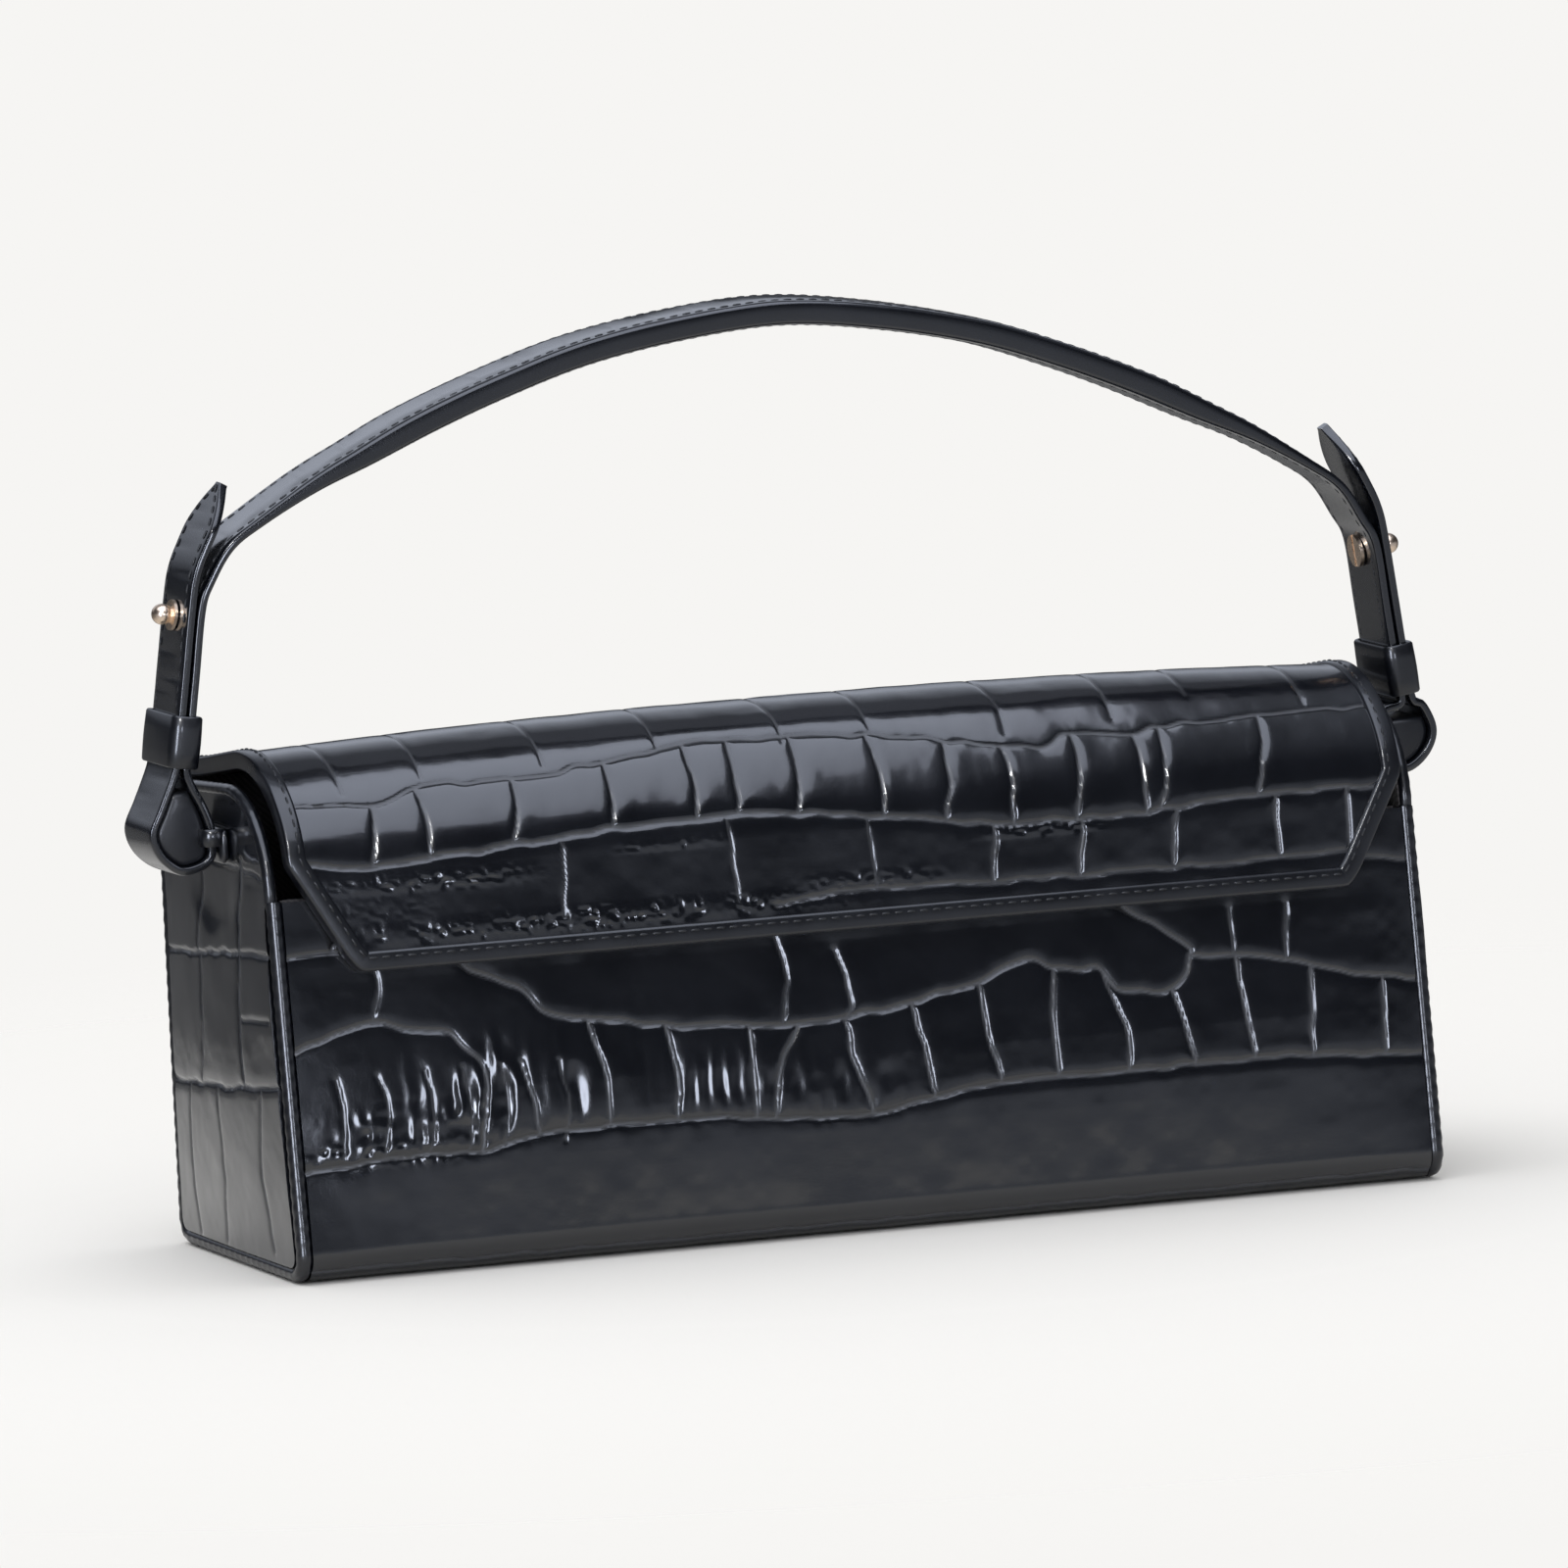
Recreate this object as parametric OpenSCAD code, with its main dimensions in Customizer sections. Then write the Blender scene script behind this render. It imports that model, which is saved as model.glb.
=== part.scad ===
// Baguette bag: a stiff leather case with a full-length flap and one arched top handle.
// X runs along the bag, the front faces -Y, Z is up. The origin is the middle of the base.

/* [Case] */
// Length over the two end gussets
case_l = 280; // [220:5:340]
// Depth of the base, front to back
case_d = 82; // [74:1:96]
// Height of the front panel's top edge
front_h = 85; // [80:1:90]
// Height of the back panel's top edge
back_h = 106; // [102:1:110]
// How far the front leans back on the way up
front_lean = 12.5; // [4:0.5:14]
// How far the back leans out on the way up
back_lean = 4; // [0:0.5:6]
// Outer radius of the two long bottom edges
corner_r = 6; // [4.5:0.5:12]

/* [Leather, boards and lining] */
// Thickness of the case's leather
leather_t = 1.8; // [1.2:0.1:2.6]
// Thickness of the boards behind the leather
board_t = 1.2; // [0.8:0.1:2]
// Thickness of the lining
lining_t = 0.8; // [0.5:0.1:1.2]
// Diameter of the piping round each gusset
piping_d = 3.2; // [2.6:0.1:4]
// Height of the leather facing inside the mouth
facing_h = 14; // [8:1:20]
// Length of the slip pocket on the back lining
pocket_l = 130; // [80:5:180]
// Height of the slip pocket
pocket_h = 60; // [40:2:70]

/* [Flap] */
// Height of the flap's highest line
flap_top = 117; // [115:0.5:120]
// Outer radius where the flap turns down over the front
flap_r = 30; // [27:0.5:32]
// How far the flap reaches down over the front panel
flap_cover = 16.5; // [16:0.5:28]
// Length of the flap's front edge
flap_edge_l = 243; // [180:1:256]
// Height at which the flap's angled sides begin
flap_side_h = 93.5; // [88:0.5:100]
// How far the flap stops short of each gusset's outer face
flap_short = 4; // [3.4:0.1:8]
// Thickness of the flap's leather
flap_leather_t = 1.6; // [1.2:0.1:2]
// Thickness of the flap's board
flap_board_t = 0.7; // [0.4:0.1:1]
// Width of the raised edge along the flap's sides and front
binding_w = 4.5; // [3:0.5:8]
// Thickness of the raised edge
binding_t = 0.7; // [0.4:0.1:1.2]
// Height of the flap leather sewn down the back
back_strip_h = 22; // [12:1:40]

/* [Magnets] */
// Diameter of each hidden magnet
magnet_d = 10; // [6:0.5:11]
// Distance between the two magnets of a pair
magnet_gap = 120; // [60:5:180]
// How far the magnets' centres lie below the front's top edge
magnet_drop = 8; // [7.5:0.5:9]

/* [Handle] */
// How far the handle stands behind the middle of the base
handle_y = 7; // [0:0.5:10]
// How much higher the handle's left end is drawn up than its middle, and lower its right end
handle_draw = 3; // [0:0.5:3]
// Width of the strap
strap_w = 18; // [14:0.5:20]
// Thickness of the padded middle of the handle
strap_mid_t = 6; // [4:0.2:7]
// Thickness of the strap's thin ends
strap_end_t = 2.2; // [1.8:0.1:2.6]
// Height of the handle's highest line
handle_top = 209.5; // [190:0.5:230]
// Height at which the legs turn into the arch
leg_top = 146; // [144:0.5:150]
// Inward lean of each leg in degrees
leg_lean = 8; // [6:0.5:9]
// Distance of each leg's middle line from its gusset, inside the keeper
leg_out = 8.1; // [7.6:0.1:9]

/* [Handle ends] */
// Height of the rivets that the handle swings on
anchor_z = 94.5; // [92:0.5:96]
// Thickness of the leather of the anchor loops
loop_t = 1.8; // [1.6:0.1:2.2]
// Height of the anchor loops' bands
loop_h = 8; // [6:0.5:9]
// How far each fold stands out from its gusset
fold_out = 18.3; // [16:0.1:20]
// How far each fold reaches below its rivet
fold_drop = 5.2; // [4.8:0.1:7]
// Height of each tip's point
tip_z = 173; // [170:0.5:178]
// Length of the pointed part of each tip
tip_point = 10; // [6:1:14]
// Height of the studs
stud_z = 144; // [140:0.5:145]
// Diameter of each stud's ball
stud_d = 4.8; // [4.2:0.2:6]
// Diameter of each stud screw's head
screw_d = 7.6; // [6:0.2:8]
// Diameter of each stud screw's shank
shank_d = 3; // [2.4:0.1:3.4]
// Diameter of each anchor rivet's shank
rivet_d = 3; // [2.4:0.1:4]
// Diameter of each anchor rivet's head
rivet_head_d = 7; // [6:0.2:8]
// Thickness of each anchor rivet's head
rivet_head_t = 0.9; // [0.6:0.1:1]

/* [Keepers] */
// Height of each keeper's bottom edge
keeper_z = 110.5; // [109.5:0.5:112]
// Height of each keeper
keeper_h = 11.8; // [9:0.2:13]
// Thickness of the keepers' leather
keeper_t = 1.2; // [1:0.1:1.8]

/* [Fits] */
// Gap between soft pieces that move past each other
soft_gap = 0.4; // [0.3:0.05:0.5]
// Gap round a shank or shaft
running_gap = 0.05; // [0.02:0.01:0.1]
// Gap between layers that are sewn or glued together
seam_gap = 0.1; // [0.05:0.01:0.15]

/* [Hidden] */
$fn = 48;

half_l = case_l / 2;
half_d = case_d / 2;
panel_l = case_l - 2 * piping_d;
piping_r = piping_d / 2;
lean = atan(front_lean / front_h);
lean_out = atan(back_lean / back_h);
lining_in = leather_t + board_t;
inside_in = lining_in + lining_t;
flap_edge_h = front_h - flap_cover;

leather_black = [0.09, 0.10, 0.12];
edge_black = [0.05, 0.05, 0.06];
board_grey = [0.55, 0.50, 0.44];
lining_grey = [0.22, 0.21, 0.22];
gold = [0.80, 0.68, 0.52];
steel = [0.62, 0.63, 0.65];

// Profiles across the bag are drawn as [y, z] and run along X.
module along_x(l) {
    rotate([90, 0, 90]) linear_extrude(l, center = true) children();
}

// Outlines seen from the front are drawn as [x, z] and run along Y.
module along_y(l) {
    rotate([90, 0, 0]) linear_extrude(l, center = true) children();
}

function arc(c, r, a0, a1, n) = [
    for (i = [0:n]) c + r * [cos(a0 + (a1 - a0) * i / n), sin(a0 + (a1 - a0) * i / n)]
];
function turned(line) = [for (i = [len(line) - 1:-1:0]) line[i]];
function band(a, b) = concat(a, turned(b));
function unit(v) = v / norm(v);

// The case's cross-section: a line at a depth inside the outer face
front_corner = [-half_d + corner_r * (1 + sin(lean)) / cos(lean), corner_r];
back_corner = [half_d - corner_r * (1 - sin(lean_out)) / cos(lean_out), corner_r];
corner_steps = 6;
function front_at(z, depth) = [-half_d + (z * sin(lean) + depth) / cos(lean), z];
function back_at(z, depth) = [half_d + (z * sin(lean_out) - depth) / cos(lean_out), z];
function front_line(top, depth) = concat(
    [front_at(top, depth)],
    arc(front_corner, corner_r - depth, 180 - lean, 270, corner_steps)
);
function back_line(top, depth) = concat(
    arc(back_corner, corner_r - depth, -90, -lean_out, corner_steps),
    [back_at(top, depth)]
);
function case_line(front_top, back_top, depth) = concat(
    front_line(front_top, depth),
    back_line(back_top, depth)
);

// The flap's cross-section: from the hinge over the top and down the front, at a distance
// outside the middle of its thickness
flap_t = flap_leather_t + flap_board_t + lining_t;
flap_mid_r = flap_r - flap_t / 2;
flap_c_z = flap_top - flap_r;
flap_c = [front_at(flap_c_z, flap_r - flap_t - soft_gap)[0], flap_c_z];
hinge_z = back_h + flap_t / 2 + soft_gap;
hinge = back_at(hinge_z, -flap_leather_t / 2);
hinge_arm = hinge - flap_c;
flap_a0 = atan2(hinge_arm[1], hinge_arm[0]) + acos(flap_mid_r / norm(hinge_arm));
flap_a1 = 180 - lean;
flap_below = 2;
flap_steps = 18;
function flap_front_end(out) = let (
    foot = front_at(flap_edge_h - flap_below, 0)
) foot + (soft_gap + flap_t / 2 + out) * [-cos(lean), sin(lean)];
function flap_line(out) = concat(
    [hinge + out * [cos(flap_a0), sin(flap_a0)]],
    arc(flap_c, flap_mid_r + out, flap_a0, flap_a1, flap_steps),
    [flap_front_end(out)]
);

// The flap's outline from the front, drawn in by a margin
flap_half = half_l - flap_short;
edge_half = flap_edge_l / 2;
side_dir = unit([flap_half - edge_half, flap_side_h - flap_edge_h]);
side_tan_low = (1 - side_dir[0]) / side_dir[1];
side_tan_high = (1 - side_dir[1]) / side_dir[0];
flap_sky = flap_top + 10;
module flap_outline(margin) {
    w = flap_half - margin;
    e = edge_half - margin * side_tan_low;
    side_z = flap_side_h + margin * side_tan_high;
    edge_z = flap_edge_h + margin;
    polygon([[-e, edge_z], [e, edge_z], [w, side_z], [w, flap_sky], [-w, flap_sky], [-w, side_z]]);
}

// Curves for the handle
function smooth(t) = let (c = min(max(t, 0), 1)) c * c * (3 - 2 * c);
function blend_point(p0, p1, p2, p3, t) = 0.5 * (
    2 * p1 + (p2 - p0) * t + (2 * p0 - 5 * p1 + 4 * p2 - p3) * t * t
    + (3 * p1 - p0 - 3 * p2 + p3) * t * t * t
);
function curve(p, n) = concat(
    [for (i = [0:len(p) - 2]) for (k = [0:n - 1])
        blend_point(p[max(i - 1, 0)], p[i], p[i + 1], p[min(i + 2, len(p) - 1)], k / n)],
    [p[len(p) - 1]]
);
function across(line, i) = let (
    d = unit(line[min(i + 1, len(line) - 1)] - line[max(i - 1, 0)])
) [-d[1], d[0]];
function beside(line, outs) = [for (i = [0:len(line) - 1]) line[i] + outs[i] * across(line, i)];
function same(line, out) = [for (p = line) out];

// The handle's middle line from one leg over the arch to the other. side is 1 on the right
// and -1 on the left, and lift is how much higher that side is drawn up.
function lift(side) = -side * handle_draw;
leg_x = half_l + leg_out;
leg_side = [cos(leg_lean), sin(leg_lean)];
join_z = keeper_z + keeper_h / 2;
function leg_at(z, out) = [leg_x - tan(leg_lean) * (z - join_z), z] + out * leg_side;
arch_rise = handle_top - strap_mid_t / 2 - leg_top;
arch_x = leg_at(leg_top, 0)[0];
arch_shape = [
    [0.981, 0.1], [0.945, 0.23], [0.89, 0.322], [0.8, 0.446], [0.716, 0.54],
    [0.612, 0.655], [0.48, 0.777], [0.334, 0.888], [0.167, 0.964]
];
function arch_half(side) = concat(
    [for (z = [join_z, (join_z + leg_top) / 2, leg_top]) let (p = leg_at(z + lift(side), 0)) [side * p[0], p[1]]],
    [for (p = arch_shape) [side * p[0] * arch_x, leg_top + p[1] * arch_rise + p[0] * lift(side)]]
);
arch_steps = 3;
arch = curve(concat(arch_half(1), [[0, leg_top + arch_rise]], turned(arch_half(-1))), arch_steps);
thick_from = 0.94;
thick_to = 0.62;
function padded(x) = smooth((thick_from - abs(x) / arch_x) / (thick_from - thick_to));
function strap_t(x) = strap_end_t + (strap_mid_t - strap_end_t) * padded(x);
skin_t = strap_end_t / 2;
arch_under = beside(arch, [for (p = arch) strap_t(p[0]) / 2]);
arch_top = beside(arch, [for (p = arch) -strap_t(p[0]) / 2]);
skin_under = beside(arch, [for (p = arch) strap_t(p[0]) / 2 - skin_t]);
skin_top = beside(arch, [for (p = arch) skin_t - strap_t(p[0]) / 2]);
core_least = 0.02;
core_keep = [for (i = [0:len(arch) - 1]) if (padded(arch[i][0]) > core_least) i];

// Each handle end's middle line: down behind the anchor band, out round the fold, up to the tip
plate_in = half_l + soft_gap / 2;
slot_x = plate_in + loop_t + soft_gap / 2 + strap_end_t / 2;
band_in = slot_x + strap_end_t / 2 + soft_gap / 2;
fold_x = half_l + fold_out - strap_end_t / 2;
tab_out = strap_end_t + 2 * seam_gap;
function end_line(side) = let (
    up = lift(side),
    top = leg_at(leg_top + up, tab_out)
) curve([
    leg_at(join_z + up, 0), leg_at(keeper_z + 2 + up, 0), leg_at(keeper_z - 2 + up, -0.3),
    [slot_x + 1.6, anchor_z + loop_h + 1.5], [slot_x + 0.05, anchor_z + loop_h / 2 + 0.6],
    [slot_x, anchor_z + 1], [slot_x + 0.3, anchor_z - 1.4],
    [slot_x + 2.6, anchor_z - fold_drop + strap_end_t / 2 + 0.7],
    [slot_x + 7.5, anchor_z - fold_drop + strap_end_t / 2], [fold_x - 1.8, anchor_z - 0.6],
    [fold_x, anchor_z + 4.5], [fold_x - 2.4, anchor_z + 10.2],
    leg_at(keeper_z - 2 + up, tab_out + 0.5), leg_at(keeper_z + 2 + up, tab_out),
    leg_at(join_z + up, tab_out), leg_at((join_z + leg_top) / 2 + up, tab_out), leg_at(leg_top + up, tab_out),
    top + [-1.6, 8], top + [-5, 15.5], top + [-11.3, tip_z - leg_top]
], 4);

module strip_y(line_a, line_b, w) {
    translate([0, handle_y, 0]) along_y(w) polygon(band(line_a, line_b));
}

// Stands a child that is drawn along +Z from the origin on the leg's middle line, facing out
module on_leg(z, out) {
    p = leg_at(z, out);
    translate([p[0], handle_y, p[1]]) rotate([0, 90 - leg_lean, 0]) children();
}

// The case's outer shell
module front_panel() {
    color(leather_black) along_x(panel_l) polygon(band(front_line(front_h, 0), front_line(front_h, leather_t)));
}

module back_panel() {
    color(leather_black) along_x(panel_l) polygon(band(back_line(back_h, 0), back_line(back_h, leather_t)));
}

module base_panel() {
    color(leather_black) translate([-panel_l / 2, front_corner[0], 0])
        cube([panel_l, back_corner[0] - front_corner[0], leather_t]);
}

// A gusset's outline, with its rounded mouth edge under the flap
gusset_r = 24;
gusset_c = flap_c + [-1, -3];
gusset_back = back_at(back_h - 0.8, piping_d);
gusset_arm = gusset_back - gusset_c;
gusset_a0 = atan2(gusset_arm[1], gusset_arm[0]) + acos(gusset_r / norm(gusset_arm));
gusset_step_z = front_h - 0.6;
gusset_a1 = 180 - asin((gusset_step_z - gusset_c[1]) / gusset_r);
module gusset_shape() {
    polygon(concat(
        [front_at(gusset_step_z, piping_d)],
        arc(front_corner, corner_r - piping_d, 180 - lean, 270, corner_steps),
        arc(back_corner, corner_r - piping_d, -90, -lean_out, corner_steps),
        [gusset_back],
        arc(gusset_c, gusset_r, gusset_a0, gusset_a1, 10)
    ));
}

module at_gusset(depth, t) {
    translate([half_l - depth - t / 2, 0, 0]) along_x(t) gusset_shape();
}

module rivet_hole(extra) {
    translate([half_l, handle_y, anchor_z]) rotate([0, 90, 0])
        cylinder(h = 20, d = rivet_d + 2 * extra, center = true);
}

module gusset() {
    color(leather_black) difference() {
        at_gusset(0, leather_t);
        rivet_hole(running_gap);
    }
}

module gusset_lining() {
    color(lining_grey) difference() {
        at_gusset(leather_t, lining_t);
        rivet_hole(running_gap);
    }
}

// Piping, down the front edge, under the base and up the back
module piping() {
    color(edge_black) translate([half_l - piping_r, 0, 0]) along_x(piping_d) polygon(band(
        case_line(front_h, back_h, 0),
        case_line(front_h, back_h, piping_d)
    ));
}

// Stiffeners between leather and lining
board_l = panel_l - 2;
board_top_in = 2;
board_foot = corner_r * (1 + sin(lean));
magnet_z = front_h - magnet_drop;
module magnet_places(z) {
    p = front_at(z, 0);
    for (side = [-1, 1]) translate([side * magnet_gap / 2, p[0], p[1]]) rotate([90 - lean, 0, 0]) children();
}

module front_board() {
    color(board_grey) difference() {
        along_x(board_l) polygon([
            front_at(front_h - board_top_in, leather_t), front_at(board_foot, leather_t),
            front_at(board_foot, lining_in), front_at(front_h - board_top_in, lining_in)
        ]);
        magnet_places(magnet_z) cylinder(h = 20, d = magnet_d + 2 * seam_gap, center = true);
    }
}

module back_board() {
    top = back_h - board_top_in;
    color(board_grey) along_x(board_l) polygon([
        back_at(top, leather_t), back_at(corner_r, leather_t), back_at(corner_r, lining_in), back_at(top, lining_in)
    ]);
}

module base_board() {
    color(board_grey) translate([-board_l / 2, front_corner[0], leather_t])
        cube([board_l, back_corner[0] - front_corner[0], board_t]);
}

module case_magnets() {
    color(steel) magnet_places(magnet_z) translate([0, 0, -lining_in])
        cylinder(h = board_t, d = magnet_d);
}

// Lining and what is sewn to it
module lining() {
    color(lining_grey) along_x(case_l - 2 * inside_in) polygon(band(
        case_line(front_h, back_h, lining_in),
        case_line(front_h, back_h, inside_in)
    ));
}

facing_t = 1;
module front_facing() {
    color(leather_black) along_x(case_l - 2 * inside_in - 2) polygon([
        front_at(front_h, inside_in), front_at(front_h - facing_h, inside_in),
        front_at(front_h - facing_h, inside_in + facing_t), front_at(front_h, inside_in + facing_t)
    ]);
}

pocket_drop = 16;
module slip_pocket() {
    top = back_h - pocket_drop;
    foot = top - pocket_h;
    face = inside_in + lining_t;
    color(lining_grey) along_x(pocket_l) polygon([
        back_at(top, inside_in), back_at(foot, inside_in), back_at(foot, face), back_at(top, face)
    ]);
}

// The flap's own leather goes down the back, where it is sewn on
module flap_back_strip() {
    top = hinge_z - flap_t / 2 - soft_gap;
    foot = top - back_strip_h;
    color(leather_black) along_x(2 * flap_half) polygon([
        back_at(top, 0), back_at(foot, 0), back_at(foot, -flap_leather_t), back_at(top, -flap_leather_t)
    ]);
}

module flap_layer(out_a, out_b, margin, depth) {
    intersection() {
        along_x(2 * flap_half) polygon(band(flap_line(out_a), flap_line(out_b)));
        along_y(depth) flap_outline(margin);
    }
}

flap_room = 2 * case_d;
leather_in = flap_t / 2 - flap_leather_t;
board_in = leather_in - flap_board_t;
module flap_nose(l) {
    translate([0, hinge[0], hinge[1]]) rotate([0, 90, 0]) cylinder(h = l, r = flap_t / 2, center = true);
}

module clear_of_nose() {
    difference() {
        children();
        translate([0, hinge[0], hinge[1]]) rotate([0, 90, 0])
            cylinder(h = 2 * case_l, r = flap_t / 2 + seam_gap, center = true);
    }
}

module flap_leather() {
    color(leather_black) {
        flap_layer(flap_t / 2, leather_in, binding_t, flap_room);
        flap_nose(2 * (flap_half - binding_t));
    }
}

module flap_board() {
    color(board_grey) difference() {
        clear_of_nose() flap_layer(leather_in, board_in, binding_w / 2, flap_room);
        magnet_places(magnet_z) cylinder(h = 20, d = magnet_d + 2 * seam_gap, center = true);
    }
}

module flap_lining() {
    color(lining_grey) clear_of_nose() flap_layer(board_in, -flap_t / 2, binding_t, flap_room);
}

module flap_binding() {
    top = flap_t / 2;
    color(edge_black) clear_of_nose() {
        difference() {
            flap_layer(top + binding_t, top, 0, flap_room);
            along_y(2 * flap_room) flap_outline(binding_w);
        }
        difference() {
            flap_layer(top, -flap_t / 2, 0, flap_room);
            along_y(2 * flap_room) flap_outline(binding_t);
        }
    }
}

module flap_magnets() {
    color(steel) magnet_places(magnet_z) translate([0, 0, soft_gap + lining_t])
        cylinder(h = flap_board_t, d = magnet_d);
}

// Handle strap: two skins over a padded core
module on_side(side) {
    if (side > 0) children();
    else mirror([1, 0, 0]) children();
}

module stud_holes() {
    for (side = [-1, 1]) on_side(side) on_leg(stud_z + lift(side), 0)
        cylinder(h = 20, d = shank_d + 2 * running_gap, center = true);
}

module strap_outer() {
    color(leather_black) difference() {
        strip_y(arch_top, skin_top, strap_w);
        stud_holes();
    }
}

module strap_lining() {
    color(leather_black) difference() {
        strip_y(skin_under, arch_under, strap_w);
        stud_holes();
    }
}

core_side = 2;
module strap_core() {
    color(board_grey)
        strip_y([for (i = core_keep) skin_top[i]], [for (i = core_keep) skin_under[i]], strap_w - core_side);
}

module strap_end(side) {
    half_w = strap_w / 2;
    line = end_line(side);
    top = tip_z + lift(side);
    color(leather_black) on_side(side) difference() {
        intersection() {
            strip_y(
                beside(line, same(line, strap_end_t / 2)),
                beside(line, same(line, -strap_end_t / 2)), strap_w
            );
            translate([0, handle_y, 0]) along_x(2 * case_l) polygon([
                [-half_w, 0], [half_w, 0], [half_w, top - tip_point], [1, top + 1],
                [-1, top + 1], [-half_w, top - tip_point]
            ]);
        }
        on_leg(stud_z + lift(side), tab_out)
            cylinder(h = 2 * tab_out, d = shank_d + 2 * running_gap, center = true);
    }
}

// Stud: a base, a neck and a ball outside the tip, and a screw from inside the leg
stud_base_t = 0.7;
stud_neck = 0.1;
shank_in = 1;
tab_face = tab_out + strap_end_t / 2;
screw_head_t = 0.9;
seat_gap = 0.3;
module stud(side) {
    color(gold) on_side(side) on_leg(stud_z + lift(side), tab_face + seat_gap) difference() {
        union() {
            cylinder(h = stud_base_t, d = 1.45 * stud_d);
            cylinder(h = stud_base_t + stud_neck + 1, d = 0.55 * stud_d + 1);
            translate([0, 0, stud_base_t + stud_neck + stud_d / 2 - 0.6]) sphere(d = stud_d);
        }
        translate([0, 0, -1]) cylinder(h = 1 + stud_base_t + stud_neck + shank_in, d = shank_d + 2 * running_gap);
    }
}

module stud_screw(side) {
    shank_l = tab_face + strap_end_t / 2 + 2 * seat_gap + stud_base_t + stud_neck + shank_in - 0.4;
    color(gold) on_side(side) on_leg(stud_z + lift(side), -strap_end_t / 2 - seat_gap) {
        translate([0, 0, -screw_head_t]) difference() {
            cylinder(h = screw_head_t, d = screw_d);
            translate([-screw_d, -0.5, -1]) cube([2 * screw_d, 1, 1.4]);
        }
        cylinder(h = shank_l, d = shank_d);
    }
}

// Anchor: a plate that turns on the rivet, with a band that holds the strap's fold
module anchor_loop(side) {
    slot_w = strap_w + 2 * soft_gap;
    ring_w = slot_w + 2 * loop_t;
    low = anchor_z - loop_h / 2 + 1;
    color(leather_black) on_side(side) difference() {
        translate([plate_in, handle_y - ring_w / 2, low]) cube([band_in + loop_t - plate_in, ring_w, loop_h]);
        translate([plate_in + loop_t, handle_y - slot_w / 2, low - 1])
            cube([band_in - plate_in - loop_t, slot_w, loop_h + 2]);
        translate([plate_in + loop_t, handle_y - ring_w, low - 1]) cube([loop_h, 2 * ring_w, loop_h / 2 + 1]);
        rivet_hole(running_gap);
        translate([plate_in + loop_t - rivet_head_t - soft_gap / 2, handle_y, anchor_z]) rotate([0, 90, 0])
            cylinder(h = 2 * rivet_head_t, d = rivet_head_d + 2 * seam_gap);
    }
}

washer_t = 0.8;
washer_in = leather_t + lining_t;
module anchor_rivet(side) {
    head_x = plate_in + loop_t - rivet_head_t;
    end_in = half_l - washer_in - washer_t;
    color(steel) on_side(side) translate([0, handle_y, 0]) rotate([0, 90, 0]) {
        translate([-anchor_z, 0, end_in]) cylinder(h = head_x - end_in, d = rivet_d);
        translate([-anchor_z, 0, head_x]) cylinder(h = rivet_head_t, d = rivet_head_d);
        translate([-anchor_z, 0, end_in - 0.6]) cylinder(h = 0.6, d = rivet_d + 2);
    }
}

module anchor_washer() {
    color(steel) translate([half_l - washer_in - washer_t, handle_y, anchor_z]) rotate([0, 90, 0]) difference() {
        cylinder(h = washer_t, d = rivet_head_d + 2);
        translate([0, 0, -1]) cylinder(h = washer_t + 2, d = rivet_d + 2 * running_gap);
    }
}

// Keeper: a leather ring round both layers of the strap
module keeper(side) {
    slot_w = strap_w + 2 * soft_gap;
    slot_t = strap_end_t + tab_out + 2 * soft_gap;
    ring_w = slot_w + 2 * keeper_t;
    ring_t = slot_t + 2 * keeper_t;
    p = leg_at(keeper_z + lift(side), tab_out / 2);
    color(leather_black) on_side(side) translate([p[0], handle_y, p[1]]) rotate([0, -leg_lean, 0]) difference() {
        translate([-ring_t / 2, -ring_w / 2, 0]) cube([ring_t, ring_w, keeper_h]);
        translate([-slot_t / 2, -slot_w / 2, -1]) cube([slot_t, slot_w, keeper_h + 2]);
    }
}

front_panel();
back_panel();
base_panel();
on_side(-1) gusset();  // left_gusset
on_side(1) gusset();  // right_gusset
on_side(-1) piping();  // left_piping
on_side(1) piping();  // right_piping
front_board();
back_board();
base_board();
lining();
on_side(-1) gusset_lining();  // left_gusset_lining
on_side(1) gusset_lining();  // right_gusset_lining
front_facing();
slip_pocket();
case_magnets();
flap_back_strip();
anchor_rivet(-1);  // left_anchor_rivet
anchor_rivet(1);  // right_anchor_rivet
for (side = [-1, 1]) on_side(side) anchor_washer();  // anchor_washers
flap_leather();
flap_board();
flap_lining();
flap_binding();
flap_magnets();
strap_outer();
strap_core();
strap_lining();
strap_end(-1);  // left_strap_end
strap_end(1);  // right_strap_end
stud(-1);  // left_stud
stud(1);  // right_stud
stud_screw(-1);  // left_stud_screw
stud_screw(1);  // right_stud_screw
anchor_loop(-1);  // left_anchor_loop
anchor_loop(1);  // right_anchor_loop
keeper(-1);  // left_keeper
keeper(1);  // right_keeper
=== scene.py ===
import math

import bmesh
import bpy
import numpy as np
from mathutils import Matrix, Vector


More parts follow.
